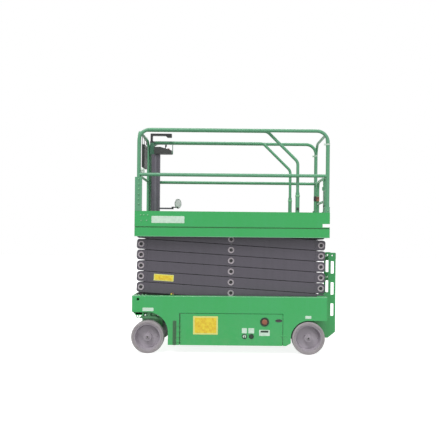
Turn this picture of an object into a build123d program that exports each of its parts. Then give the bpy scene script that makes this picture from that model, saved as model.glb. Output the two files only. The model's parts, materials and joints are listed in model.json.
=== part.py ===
"""Slab scissor lift with six scissor stages, a roll-out deck extension and swing-out side trays.

Frame: +X is the rear (ladder) end, -X the steered front, +Z up, millimetres.
The origin is on the floor under the middle of the machine.
"""

import os
from math import asin, cos, sin

from build123d import *

os.makedirs("parts", exist_ok=True)

# running gear
wheelbase = 1870
axle_front_x = -1025
axle_rear_x = axle_front_x + wheelbase
wheel_r = 190.5
wheel_width = 127
tyre_depth = 34.5
rim_r = wheel_r - tyre_depth
hub_r = 48
rim_dish = 32
stub_axle_r = 27
running_gap = 0.4
axle_beam = 90

# chassis weldment
chassis_half_width = 575
chassis_front_x = axle_front_x - 183
chassis_rear_x = axle_rear_x + 214
wheel_proud = 10
wheel_y = chassis_half_width + wheel_proud - wheel_width / 2
chassis_plate = 8
side_plate = 10
skirt_bottom_z = 100
front_arch_clearance = 46.5
front_arch_r = wheel_r + front_arch_clearance
front_arch_top_z = 2 * wheel_r + 99
rear_arch_clearance = 14.5
rear_arch_r = wheel_r + rear_arch_clearance
rear_arch_top_z = 2 * wheel_r + 14
arch_lining = 5
arch_lining_depth = 38
rear_well_y = wheel_y - wheel_width / 2 - 24
rear_well_bottom_z = wheel_r + 64.5
top_edge_r = 6
trough_depth = 110
trough_floor_z = front_arch_top_z + 80
trough_half_width = chassis_half_width - 100
chassis_top_z = trough_floor_z + trough_depth
spine_half_width = 250
spine_bottom_z = 140
bulkhead_front_x = axle_front_x + front_arch_r + 28
bulkhead_rear_x = axle_rear_x - rear_arch_r - 16
front_beam_z = front_arch_top_z - 40
front_beam_rear_x = chassis_front_x + 130
tie_down_x = chassis_front_x + 69
tie_down_z = chassis_top_z - 42
tie_down_r = 16
shackle_r = 15
shackle_bar_r = 4

# steering
kingpin_y = wheel_y - wheel_width / 2 - 18
kingpin_r = 36
kingpin_flare_r = kingpin_r + 20
yoke_plate_z = 2 * wheel_r + 14
yoke_plate_thick = 25
yoke_plate_half = 117
kingpin_length = trough_floor_z - yoke_plate_z - 27
yoke_leg_thick = 20
yoke_leg_y = wheel_y - wheel_width / 2 - 8 - yoke_leg_thick
wheel_motor_r = 55
wheel_motor_length = 70
steer_arm_reach = 110
steer_pin_r = 8
tie_rod_z = yoke_plate_z + 45
tie_rod_r = 14

# side trays, flush in the side plates
door_gap = 5
door_front_x = bulkhead_front_x + 112
door_rear_x = bulkhead_rear_x - 80
door_top_z = trough_floor_z - 93
hinge_x = door_front_x - 64
hinge_r = 8
hinge_pin_r = 4
hinge_out = hinge_r + 3.5
hinge_leaf_width = 42
hinge_leaf_back = 20
hinge_leaf = 3
hinge_leaf_gap = 0.6
hinge_top_z = door_top_z - 84
hinge_knuckles = 9
tray_inner_y = spine_half_width + 50
tray_front_x = door_front_x + 48
tray_rear_x = door_rear_x - 59
tray_floor_z = skirt_bottom_z + 12
tray_floor_thick = 6
tray_lip = 30
battery_size = (250, 230, 280)
battery_gap = 12

# scissor stack
stage_count = 6
arm_span = 2125
pin_right_x = chassis_rear_x - 61
stage_pitch = 127
arm_gap = 7
arm_height = stage_pitch - arm_gap
arm_floor_clearance = 15
level_zero_z = trough_floor_z + arm_height / 2 + arm_floor_clearance
arm_thick = 55
arm_side_gap = 8
arm_wall = 6
arm_overhang = 50
end_block_height = arm_height - 4
end_block_inset = 39
end_corner_r = 30
pin_r = 30
pin_bore_r = 20
boss_r = pin_r + 7.5
boss_proud = 4
boss_clearance = 16
outer_arm_y = trough_half_width - boss_clearance - boss_proud - arm_thick
inner_arm_y = outer_arm_y - arm_side_gap - arm_thick
cross_tube_r = 30
cross_tube_at = arm_span / 2 - 112.5
roller_r = 45
roller_track_rear_x = pin_right_x - 958
lug_half = 50

# lift cylinders between inner arm frames
barrel_r = 60
barrel_wall = 10
barrel_bore_r = barrel_r - barrel_wall
rod_r = 35
cylinder_eye_r = 50
eye_half_width = 42
eye_gap = 3
eye_lug_thick = 20
gland_length = 20
piston_length = 12
eye_clear = 15
lift_cylinders = ((1, 2, 3), (2, 4, 5))  # number, stage of the foot, stage of the head

# platform
platform_level_z = level_zero_z + stage_pitch * stage_count
deck_length = 2271
deck_rear_x = pin_right_x + 84
deck_front_x = deck_rear_x - deck_length
deck_side_inset = 10
deck_half_width = chassis_half_width - deck_side_inset
arm_deck_clearance = 43
deck_top_z = platform_level_z + arm_height / 2 + arm_deck_clearance
deck_plate = 8
side_beam_bottom_z = deck_top_z - 142
toe_board_bottom_z = deck_top_z - 26
toe_board_top_z = deck_top_z + 154
toe_board_thick = 6
side_beam_width = 50
side_beam_top_z = toe_board_bottom_z - 12
side_beam_inset = 2
groove_depth = 8
joist_depth = 24
joist_width = 40
joist_pitch = 450
joist_count = 5
entry_step_x = deck_rear_x - 84
entry_step_z = (deck_top_z - 18, deck_top_z + 21)
entry_step_plate = 8

# guardrails
rail_r = 20
mid_rail_r = 19
rail_y = deck_half_width - 30
rail_height = 1105
top_rail_z = deck_top_z + rail_height
mid_rail_z = deck_top_z + 582
rail_corner_r = 130
main_post_front_x = deck_front_x + 39
main_post_rear_x = deck_rear_x - 26
post_r = rail_r + 2
post_collar_z = top_rail_z - 155
post_base_z = deck_top_z + 27
front_sleeve = (80, 40, mid_rail_z - 32)  # width, depth, top
rear_socket = (68, 42, deck_top_z + 220)
rear_frame_y = rail_y - 45
front_corner_r = 125
rear_corner_r = 170
rear_frame_top_z = top_rail_z - 15
rear_frame_r = 17
gate_post_y = rear_frame_y - 165
gate_half_width = gate_post_y - 40
gate_bottom_z = deck_top_z + 35
gate_bar_z = deck_top_z + 300
gate_tube_r = 17
gate_hinge_x = main_post_rear_x - 22
gate_hinge_y = 20 - gate_post_y
gate_hinge_heights = (deck_top_z + 150, deck_top_z + 450)
gate_latch_z = (deck_top_z + 350, deck_top_z + 384)
gate_knuckle_r = 9

# roll-out extension
extension_gap = 3
extension_plate = 6
extension_board = 4
extension_length = 1921
extension_front_x = deck_front_x + extension_gap
extension_rear_x = extension_front_x + extension_length
extension_half_width = deck_half_width - 57
extension_rail_y = extension_half_width - 29
extension_rail_r = 18
extension_front_frame_x = main_post_front_x - 13
extension_front_frame_y = extension_rail_y - 40
extension_post_rear_x = extension_rear_x - 23
extension_drop_x = extension_post_rear_x - 362
extension_drop_z = top_rail_z - 355
extension_socket_r = 24
extension_socket_top_z = deck_top_z + 355
front_tie_heights = (deck_top_z + 200, mid_rail_z + 158, top_rail_z - 205)

# platform controls
stand_x = main_post_front_x + 88
stand_y = extension_half_width - 83
stand_size = (115, 58)
stand_top_z = top_rail_z - 165
bracket_x = (stand_x - 76, stand_x - 18)
bracket_top_z = stand_top_z + 170
strap_z = stand_top_z + 138
bracket_plate = 8
controller_rear_x = stand_x + 212
controller_y = (stand_y - 53, stand_y + 37)
controller_z = (stand_top_z + 2, stand_top_z + 95)
guard_x = (stand_x - 70, stand_x + 208)
guard_top_z = bracket_top_z + 102
guard_bar = 28
guard_width = 50
document_box_x = (main_post_front_x + 7, main_post_front_x + 42)
document_box_y = (-341, -70)
document_box_z = (top_rail_z - 415, top_rail_z - 143)
lamp_r = 64
lamp_thick = 16
lamp_turn = 0.93
lamp_x = stand_x + 295
lamp_z = deck_top_z + 296
lamp_shelf_z = (lamp_z - lamp_r - 10, lamp_z - lamp_r + 10)

# derived places
rest_angle = asin(stage_pitch / arm_span)
half_arm = arm_span / 2
pin_centre_x = pin_right_x - half_arm * cos(rest_angle)
pin_left_x = pin_right_x - arm_span * cos(rest_angle)
outer_face = outer_arm_y + arm_thick
inner_face = inner_arm_y + arm_thick
deck_underside_z = deck_top_z - deck_plate
extension_floor_z = deck_top_z + extension_gap + extension_plate


def level_z(level):
    """Height of the pins at a level, where level 0 is the chassis."""
    return level_zero_z + stage_pitch * level


def stage_z(stage):
    """Height of the centre pin of a stage."""
    return (level_z(stage - 1) + level_z(stage)) / 2


def side_plane(y):
    """Plane across the machine: local x is X, local y is Z, normal towards -Y."""
    return Plane(origin=(0, y, 0), x_dir=(1, 0, 0), z_dir=(0, -1, 0))


def cross_plane(x):
    """Plane along the machine's width: local x is Y, local y is Z, normal towards +X."""
    return Plane(origin=(x, 0, 0), x_dir=(0, 1, 0), z_dir=(1, 0, 0))


def arm_plane(stage, y, rises_right):
    """Plane on a scissor arm's centre line at rest: local x runs along the arm."""
    lift = sin(rest_angle) if rises_right else -sin(rest_angle)
    along = (cos(rest_angle), 0, lift)
    return Plane(origin=(pin_centre_x, y, stage_z(stage)), x_dir=along, z_dir=(0, -1, 0))


def on_arm(stage, along, rises_right):
    """X and Z of a point along an arm's centre line at rest."""
    lift = sin(rest_angle) if rises_right else -sin(rest_angle)
    return pin_centre_x + along * cos(rest_angle), stage_z(stage) + along * lift


def outline(plane, points):
    """Closed face through points of a plane."""
    with BuildSketch(plane) as face:
        with BuildLine():
            Polyline(*points, close=True)
        make_face()
    return face.sketch


def plate_along_y(points, y_from, y_to):
    """Profile in X and Z, extruded between two values of Y."""
    extrude(outline(side_plane(max(y_from, y_to)), points), amount=abs(y_to - y_from))


def plate_across(x, thick, half_width, z_range):
    """Plate square to X, centred on the machine."""
    low, high = z_range
    points = [(-half_width, low), (half_width, low), (half_width, high), (-half_width, high)]
    extrude(outline(cross_plane(x), points), amount=thick)


def block(x_range, y_range, z_range, mode=Mode.ADD):
    """Box between two corners."""
    spans = [abs(b - a) for a, b in (x_range, y_range, z_range)]
    middle = [(a + b) / 2 for a, b in (x_range, y_range, z_range)]
    with Locations(tuple(middle)):
        Box(*spans, mode=mode)


def round_bar(radius, y_from, y_to, x, z, mode=Mode.ADD):
    """Round bar along Y."""
    with Locations((x, (y_from + y_to) / 2, z)):
        Cylinder(radius, abs(y_to - y_from), rotation=(90, 0, 0), mode=mode)


def round_post(radius, x, y, z_from, z_to, mode=Mode.ADD):
    """Round bar along Z."""
    with Locations((x, y, (z_from + z_to) / 2)):
        Cylinder(radius, z_to - z_from, mode=mode)


def bent_tube(points, tube_r, bend_r=None):
    """Tube along straight runs joined by arcs of one radius."""
    with BuildLine() as path:
        if bend_r:
            FilletPolyline(*points, radius=bend_r)
        else:
            Line(*points)
    with BuildSketch(Plane(origin=path.line @ 0, z_dir=path.line % 0)) as section:
        Circle(tube_r)
    sweep(sections=section.sketch, path=path.line)


def finish(piece, name):
    """Label a piece and write its STEP file."""
    piece.part.label = name
    export_step(piece.part, f"parts/{name}.step")


# ---------------------------------------------------------------- chassis

skin = chassis_half_width
wall = trough_half_width
front_arch_z = front_arch_top_z - front_arch_r
rear_arch_z = rear_arch_top_z - rear_arch_r
rear_arch_x = axle_rear_x - rear_arch_r
hinge_y = skin + hinge_out
knuckle_pitch = (hinge_top_z - skirt_bottom_z) / hinge_knuckles

with BuildPart() as chassis_frame:
    # side plates with both wheel arches and the cut-out that a tray closes
    with BuildSketch(side_plane(side_plate - skin)):
        with BuildLine():
            Polyline(
                (axle_front_x, front_arch_top_z),
                (chassis_front_x, front_arch_top_z),
                (chassis_front_x, chassis_top_z),
                (chassis_rear_x, chassis_top_z),
                (chassis_rear_x, rear_arch_top_z),
                (axle_rear_x, rear_arch_top_z),
            )
            CenterArc((axle_rear_x, rear_arch_z), rear_arch_r, 90, 90)
            Polyline(
                (rear_arch_x, rear_arch_z),
                (rear_arch_x, skirt_bottom_z + 30),
                (rear_arch_x - 55, skirt_bottom_z),
                (axle_front_x + front_arch_r, skirt_bottom_z),
                (axle_front_x + front_arch_r, front_arch_z),
            )
            CenterArc((axle_front_x, front_arch_z), front_arch_r, 0, 90)
        make_face()
        with Locations(((door_front_x + door_rear_x) / 2, (skirt_bottom_z + door_top_z) / 2)):
            Rectangle(
                door_rear_x - door_front_x + 2 * door_gap,
                door_top_z - skirt_bottom_z + 2 * door_gap,
                mode=Mode.SUBTRACT,
            )
        with Locations((tie_down_x, tie_down_z)):
            Circle(tie_down_r, mode=Mode.SUBTRACT)
    extrude(amount=side_plate)
    mirror(about=Plane.XZ)
    # trough that the scissors lie in, with flanges out to the side plates
    half_section = [
        (skin, chassis_top_z),
        (wall, chassis_top_z),
        (wall, trough_floor_z),
        (0, trough_floor_z),
        (0, trough_floor_z - chassis_plate),
        (wall + chassis_plate, trough_floor_z - chassis_plate),
        (wall + chassis_plate, chassis_top_z - chassis_plate),
        (skin, chassis_top_z - chassis_plate),
    ]
    extrude(outline(cross_plane(chassis_front_x), half_section), amount=chassis_rear_x - chassis_front_x)
    mirror(about=Plane.XZ)
    # spine tube between the trays
    with BuildSketch(cross_plane(bulkhead_front_x)):
        with Locations((0, (spine_bottom_z + trough_floor_z - chassis_plate) / 2)):
            Rectangle(2 * spine_half_width, trough_floor_z - chassis_plate - spine_bottom_z)
            offset(amount=-chassis_plate, mode=Mode.SUBTRACT)
    extrude(amount=bulkhead_rear_x + chassis_plate - bulkhead_front_x)
    # bulkheads before and behind the trays, end sheets
    for x, low, high in (
        (bulkhead_front_x, skirt_bottom_z, trough_floor_z),
        (bulkhead_rear_x, skirt_bottom_z + 25, trough_floor_z),
        (chassis_front_x, front_arch_top_z, chassis_top_z),
        (chassis_rear_x - chassis_plate, rear_arch_top_z, trough_floor_z),
    ):
        plate_across(x, chassis_plate, skin, (low, high))
    for side in (-1, 1):
        block(
            (chassis_rear_x - chassis_plate, chassis_rear_x),
            (side * wall, side * skin),
            (trough_floor_z - 1, chassis_top_z),
        )
    # plates over the wheels
    block((chassis_front_x, bulkhead_front_x + 1), (-skin, skin), (front_arch_top_z, front_arch_top_z + chassis_plate))
    block((bulkhead_rear_x, chassis_rear_x), (-skin, skin), (rear_arch_top_z, rear_arch_top_z + chassis_plate))
    for side in (-1, 1):
        # inner walls of the rear wheel wells
        block(
            (bulkhead_rear_x, chassis_rear_x),
            (side * rear_well_y, side * (rear_well_y + chassis_plate)),
            (rear_well_bottom_z, rear_arch_top_z + 1),
        )
    # curved linings of the arches
    for centre_x, centre_z, radius, start, depth in (
        (axle_front_x, front_arch_z, front_arch_r, 0, arch_lining_depth),
        (axle_rear_x, rear_arch_z, rear_arch_r, 90, 3 * arch_lining_depth),
    ):
        for side in (-1, 1):
            with BuildSketch(side_plane(max(side * skin, side * (skin - depth)))):
                with BuildLine():
                    CenterArc((centre_x, centre_z), radius, start, 90)
                    CenterArc((centre_x, centre_z), radius + arch_lining, start, 90)
                    for angle in (start, start + 90):
                        inner = PolarLine((centre_x, centre_z), radius, angle, mode=Mode.PRIVATE) @ 1
                        outer = PolarLine((centre_x, centre_z), radius + arch_lining, angle, mode=Mode.PRIVATE) @ 1
                        Line(inner, outer)
                make_face()
            extrude(amount=depth)
    # folded beam under the front end
    with BuildSketch(side_plane(skin - side_plate)):
        with BuildLine():
            Polyline(
                (chassis_front_x + chassis_plate, front_arch_top_z + 1),
                (chassis_front_x + 45, front_beam_z),
                (front_beam_rear_x, front_beam_z),
                (front_beam_rear_x, front_arch_top_z + 1),
                close=True,
            )
        make_face()
        offset(amount=-chassis_plate, mode=Mode.SUBTRACT)
    extrude(amount=2 * (skin - side_plate))
    for side in (-1, 1):
        # shackle under the front corner
        with Locations((chassis_front_x + 62, side * (skin - 30), front_beam_z - shackle_r + 2)):
            Torus(shackle_r, shackle_bar_r, rotation=(90, 0, 0))
        # roller tracks in the trough
        block(
            (pin_left_x - 60, roller_track_rear_x),
            (side * (outer_arm_y - 2), side * (wall + 1)),
            (trough_floor_z - 1, level_zero_z - roller_r),
        )
        # kingpin bearing towers
        round_post(
            kingpin_r + 22, axle_front_x, side * kingpin_y, front_arch_top_z, trough_floor_z - chassis_plate
        )
        # lugs of the lowest fixed pivot
        plate_along_y(
            [
                (pin_right_x - lug_half, trough_floor_z - 1),
                (pin_right_x + lug_half, trough_floor_z - 1),
                (pin_right_x + lug_half - 8, level_zero_z + 42),
                (pin_right_x - lug_half + 8, level_zero_z + 42),
            ],
            side * (outer_face + boss_proud + 1),
            side * (wall + 1),
        )
        # fixed hinge leaf, pin and every second knuckle of the tray
        y = side * hinge_y
        block(
            (hinge_x - hinge_leaf_back, hinge_x - hinge_leaf_back + hinge_leaf_width),
            (side * (skin - 1), side * (skin + hinge_leaf)),
            (skirt_bottom_z, hinge_top_z),
        )
        for knuckle in range(0, hinge_knuckles, 2):
            low = skirt_bottom_z + knuckle * knuckle_pitch
            high = low + knuckle_pitch - 1
            round_post(hinge_r, hinge_x, y, low, high)
            block((hinge_x - hinge_r + 2, hinge_x - 1), (side * (skin + 1), y), (low, high))
        round_post(hinge_pin_r, hinge_x, y, skirt_bottom_z, hinge_top_z)
    for side in (-1, 1):
        round_post(
            kingpin_r + running_gap,
            axle_front_x,
            side * kingpin_y,
            front_arch_top_z - 1,
            yoke_plate_z + kingpin_length + 12,
            mode=Mode.SUBTRACT,
        )
    round_bar(pin_r + running_gap, -wall, wall, pin_right_x, level_zero_z, mode=Mode.SUBTRACT)
    # folded top edges of the side plates
    long_edges = chassis_frame.edges().filter_by(Axis.X)
    fillet(
        long_edges.filter_by(
            lambda edge: abs(abs(edge.center().Y) - skin) < 0.1 and abs(edge.center().Z - chassis_top_z) < 0.1
        ),
        top_edge_r,
    )
finish(chassis_frame, "chassis_frame")

# rear ladder: slotted side plates and folded treads
ladder_x = (chassis_rear_x + 67, chassis_rear_x + 156.5)
ladder_half_width = 194
ladder_plate = 8
ladder_top_z = chassis_top_z + 512
ladder_bottom_z = skirt_bottom_z + 45
tread_x = (chassis_rear_x + 31, ladder_x[1] - 9.5)
tread_top_z = ladder_top_z - 44
tread_pitch = 258
tread_count = 4
tread_lip = 24
slot_size = (43, 150)
slot_heights = (ladder_top_z - 179, ladder_top_z - 436, ladder_top_z - 694)

with BuildPart() as rear_ladder:
    with BuildSketch(side_plane(ladder_half_width)):
        with BuildLine():
            FilletPolyline(
                (ladder_x[0], ladder_top_z),
                (ladder_x[1], ladder_top_z),
                (ladder_x[1], ladder_bottom_z + 73),
                (ladder_x[0], ladder_bottom_z),
                (chassis_rear_x, ladder_bottom_z),
                (chassis_rear_x, chassis_top_z),
                (ladder_x[0], chassis_top_z + 30),
                radius=(30, 14, 14, 20, 4, 14, 14),
                close=True,
            )
        make_face()
        with Locations([((ladder_x[0] + ladder_x[1]) / 2, z) for z in slot_heights]):
            RectangleRounded(*slot_size, 9, mode=Mode.SUBTRACT)
        with Locations(((ladder_x[0] + ladder_x[1]) / 2, ladder_top_z - 34)):
            Circle(9, mode=Mode.SUBTRACT)
    extrude(amount=ladder_plate)
    mirror(about=Plane.XZ)
    front, rear = tread_x
    for tread in range(tread_count):
        top = tread_top_z - tread * tread_pitch
        plate_along_y(
            [
                (front, top),
                (rear, top),
                (rear, top - tread_lip),
                (rear - 4, top - tread_lip),
                (rear - 4, top - 4),
                (front + 4, top - 4),
                (front + 4, top - tread_lip),
                (front, top - tread_lip),
            ],
            -ladder_half_width + ladder_plate - 1,
            ladder_half_width - ladder_plate + 1,
        )
finish(rear_ladder, "rear_ladder")

# rear axle: beam, hanger plates and stub axles
beam_end_y = wheel_y - wheel_width / 2 - 28
with BuildPart() as rear_axle:
    with BuildSketch(side_plane(beam_end_y)):
        with Locations((axle_rear_x, wheel_r)):
            RectangleRounded(axle_beam, axle_beam, 10)
            offset(amount=-8, mode=Mode.SUBTRACT)
    extrude(amount=2 * beam_end_y)
    for side in (-1, 1):
        round_bar(axle_beam / 2, side * (beam_end_y - 8), side * (beam_end_y + 16), axle_rear_x, wheel_r)
        round_bar(stub_axle_r, side * beam_end_y, side * (wheel_y + 38), axle_rear_x, wheel_r)
        plate_along_y(
            [
                (axle_rear_x - axle_beam / 2, wheel_r + axle_beam / 2 - 5),
                (axle_rear_x + axle_beam / 2, wheel_r + axle_beam / 2 - 5),
                (axle_rear_x + axle_beam, rear_arch_top_z),
                (axle_rear_x - axle_beam, rear_arch_top_z),
            ],
            side * 380,
            side * 394,
        )
finish(rear_axle, "rear_axle")

# ---------------------------------------------------------------- steering and wheels

steer_x = axle_front_x + steer_arm_reach
for side_name, side in (("left", -1), ("right", 1)):
    with BuildPart() as steering_yoke:
        # top plate with sloped ends
        plate_along_y(
            [
                (axle_front_x - yoke_plate_half, yoke_plate_z),
                (axle_front_x + yoke_plate_half, yoke_plate_z),
                (axle_front_x + yoke_plate_half - 27, yoke_plate_z + yoke_plate_thick),
                (axle_front_x - yoke_plate_half + 27, yoke_plate_z + yoke_plate_thick),
            ],
            side * (kingpin_y - 40),
            side * (kingpin_y + 42),
        )
        round_post(kingpin_r, axle_front_x, side * kingpin_y, yoke_plate_z + 5, yoke_plate_z + 5 + kingpin_length)
        with Locations((axle_front_x, side * kingpin_y, yoke_plate_z + yoke_plate_thick)):
            Cone(kingpin_flare_r - 16, kingpin_r, 16, align=(Align.CENTER, Align.CENTER, Align.MIN))
        # inboard leg with the wheel motor
        plate_along_y(
            [
                (axle_front_x - 80, yoke_plate_z + 5),
                (axle_front_x + 80, yoke_plate_z + 5),
                (axle_front_x + 64, wheel_r - 45),
                (axle_front_x + 40, wheel_r - 68),
                (axle_front_x - 40, wheel_r - 68),
                (axle_front_x - 64, wheel_r - 45),
            ],
            side * yoke_leg_y,
            side * (yoke_leg_y + yoke_leg_thick),
        )
        motor_end = yoke_leg_y - wheel_motor_length
        round_bar(wheel_motor_r, side * (motor_end + 12), side * yoke_leg_y, axle_front_x, wheel_r)
        round_bar(wheel_motor_r - 12, side * motor_end, side * (motor_end + 13), axle_front_x, wheel_r)
        round_bar(stub_axle_r, side * yoke_leg_y, side * (wheel_y + 38), axle_front_x, wheel_r)
        # steering arm behind the kingpin, with its pin
        with BuildSketch(Plane.XY.offset(yoke_plate_z + 4)):
            with Locations((axle_front_x + steer_arm_reach / 2, side * kingpin_y)):
                SlotCenterToCenter(steer_arm_reach, 46)
        extrude(amount=16)
        round_post(steer_pin_r, steer_x, side * kingpin_y, yoke_plate_z + 4, tie_rod_z + 24)
    finish(steering_yoke, f"steering_yoke_{side_name}")

with BuildPart() as tie_rod:
    round_bar(tie_rod_r, -kingpin_y, kingpin_y, steer_x, tie_rod_z)
    for side in (-1, 1):
        round_post(22, steer_x, side * kingpin_y, tie_rod_z - 16, tie_rod_z + 16)
    for side in (-1, 1):
        round_post(
            steer_pin_r + running_gap, steer_x, side * kingpin_y, tie_rod_z - 20, tie_rod_z + 20, mode=Mode.SUBTRACT
        )
finish(tie_rod, "tie_rod")

wheels = (  # name, axle x, side
    ("front_left", axle_front_x, -1),
    ("front_right", axle_front_x, 1),
    ("rear_left", axle_rear_x, -1),
    ("rear_right", axle_rear_x, 1),
)
half_wheel = wheel_width / 2
for wheel_name, wheel_x, side in wheels:
    wheel_axis = Axis((wheel_x, side * wheel_y, wheel_r), (0, side, 0))
    # local x is the radius and local y points outwards along the axle
    section_plane = Plane(origin=wheel_axis.position, x_dir=(0, 0, 1), z_dir=(side, 0, 0))
    with BuildPart() as tyre:
        with BuildSketch(section_plane):
            with Locations(((rim_r + wheel_r) / 2, 0)):
                RectangleRounded(wheel_r - rim_r, wheel_width, 9)
        revolve(axis=wheel_axis)
    finish(tyre, f"tyre_{wheel_name}")
    out = -half_wheel
    face = half_wheel - rim_dish
    with BuildPart() as rim:
        with BuildSketch(section_plane):
            with BuildLine():
                Polyline(
                    (stub_axle_r + running_gap, out + 18),
                    (hub_r, out + 18),
                    (hub_r, face - 12),
                    (rim_r - 26, face - 8),
                    (rim_r - 12, out + 8),
                    (rim_r, out + 8),
                    (rim_r, half_wheel - 8),
                    (rim_r - 6, half_wheel - 8),
                    (rim_r - 10, face),
                    (hub_r + 12, face - 4),
                    (hub_r + 6, half_wheel - 20),
                    (stub_axle_r + running_gap, half_wheel - 20),
                    close=True,
                )
            make_face()
        revolve(axis=wheel_axis)
    finish(rim, f"rim_{wheel_name}")

# ---------------------------------------------------------------- side trays

for side_name, side in (("left", -1), ("right", 1)):
    with BuildPart() as door:
        with BuildSketch(side_plane(max(side * skin, side * (skin - side_plate)))):
            with Locations(((door_front_x + door_rear_x) / 2, (skirt_bottom_z + door_top_z) / 2)):
                RectangleRounded(door_rear_x - door_front_x, door_top_z - skirt_bottom_z, 6)
        extrude(amount=side_plate)
        # hinge straps with the knuckles between the fixed ones
        y = side * hinge_y
        for knuckle in range(1, hinge_knuckles, 2):
            low = skirt_bottom_z + knuckle * knuckle_pitch + 1
            high = low + knuckle_pitch - 3
            round_post(hinge_r, hinge_x, y, low, high)
            strap_y = skin + hinge_leaf + hinge_leaf_gap
            block((hinge_x + 1, door_front_x + 12), (side * strap_y, side * (strap_y + hinge_leaf)), (low, high))
            block((door_front_x, door_front_x + 12), (side * (skin - 1), side * (strap_y + 1)), (low, high))
        round_post(
            hinge_pin_r + running_gap, hinge_x, y, skirt_bottom_z, hinge_top_z, mode=Mode.SUBTRACT
        )
    finish(door, f"tray_door_{side_name}")
    with BuildPart() as tray:
        door_y = skin - side_plate
        block((tray_front_x, tray_rear_x), (side * tray_inner_y, side * door_y), (tray_floor_z, tray_floor_z + tray_floor_thick))
        block(
            (tray_front_x, tray_rear_x),
            (side * tray_inner_y, side * (tray_inner_y + tray_floor_thick)),
            (tray_floor_z, tray_floor_z + tray_floor_thick + tray_lip),
        )
    finish(tray, f"tray_floor_{side_name}")

tray_top_z = tray_floor_z + tray_floor_thick
tray_mid_y = (tray_inner_y + tray_floor_thick + skin - side_plate) / 2
tray_depth = skin - side_plate - tray_inner_y - tray_floor_thick
battery_count = 4
with BuildPart() as battery_pack:
    length, depth, height = battery_size
    for cell in range(battery_count):
        x = (tray_front_x + tray_rear_x) / 2 + (cell - (battery_count - 1) / 2) * (length + battery_gap)
        with Locations((x, -tray_mid_y, tray_top_z + height / 2)):
            Box(length, depth, height)
finish(battery_pack, "battery_pack")

with BuildPart() as hydraulic_power_unit:
    tank_length, tank_height, motor_r = 420, 260, 90
    tank_x = tray_front_x + tank_length / 2 + 50
    with Locations((tank_x, tray_mid_y, tray_top_z + tank_height / 2)):
        Box(tank_length, battery_size[1], tank_height)
    with Locations((tank_x + 450, tray_mid_y, tray_top_z + motor_r)):
        Cylinder(motor_r, tank_length, rotation=(0, 90, 0))
finish(hydraulic_power_unit, "hydraulic_power_unit")

# ground controls on the left tray's skin
with BuildPart() as ground_controls:
    for before_rear, below_top, radius, reach in (  # emergency stop on its ring, then two knobs
        (210, 90, 53, 5),
        (210, 90, 22, 10),
        (210, 90, 32, 18),
        (443, 259, 29, 7),
        (443, 259, 19, 18),
        (362, 259, 29, 7),
        (362, 259, 19, 18),
    ):
        round_bar(radius, -skin, -skin - reach, door_rear_x - before_rear, door_top_z - below_top)
    for before_rear, below_top, width, height in ((211, 217, 124, 70), (47, 75, 80, 36)):  # plate, latch
        x, z = door_rear_x - before_rear, door_top_z - below_top
        block((x - width / 2, x + width / 2), (-skin, -skin - 3), (z - height / 2, z + height / 2))
finish(ground_controls, "ground_controls")

# ---------------------------------------------------------------- scissor stack

main_tube = 2 * (half_arm - end_block_inset)
block_length = end_block_inset + arm_overhang + 30
void_from, void_to = 2 * boss_r, half_arm - 150


def arm_pair(stage, y_near, rises_right):
    """Two hollow arms of one stage, at y_near to y_near + arm_thick on either side."""
    for side in (-1, 1):
        y = y_near + arm_thick if side > 0 else -y_near
        with BuildSketch(arm_plane(stage, y, rises_right)) as arm_outline:
            Rectangle(main_tube, arm_height)
            block_at = half_arm + arm_overhang - block_length / 2
            with Locations((-block_at, 0), (block_at, 0)):
                RectangleRounded(block_length, end_block_height, end_corner_r)
        extrude(arm_outline.sketch, amount=arm_thick)
        with BuildSketch(arm_plane(stage, y - arm_wall, rises_right)) as cavity:
            for end in (-1, 1):
                with Locations((end * (void_from + void_to) / 2, 0)):
                    Rectangle(void_to - void_from, arm_height - 2 * arm_wall)
        extrude(cavity.sketch, amount=arm_thick - 2 * arm_wall, mode=Mode.SUBTRACT)


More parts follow.
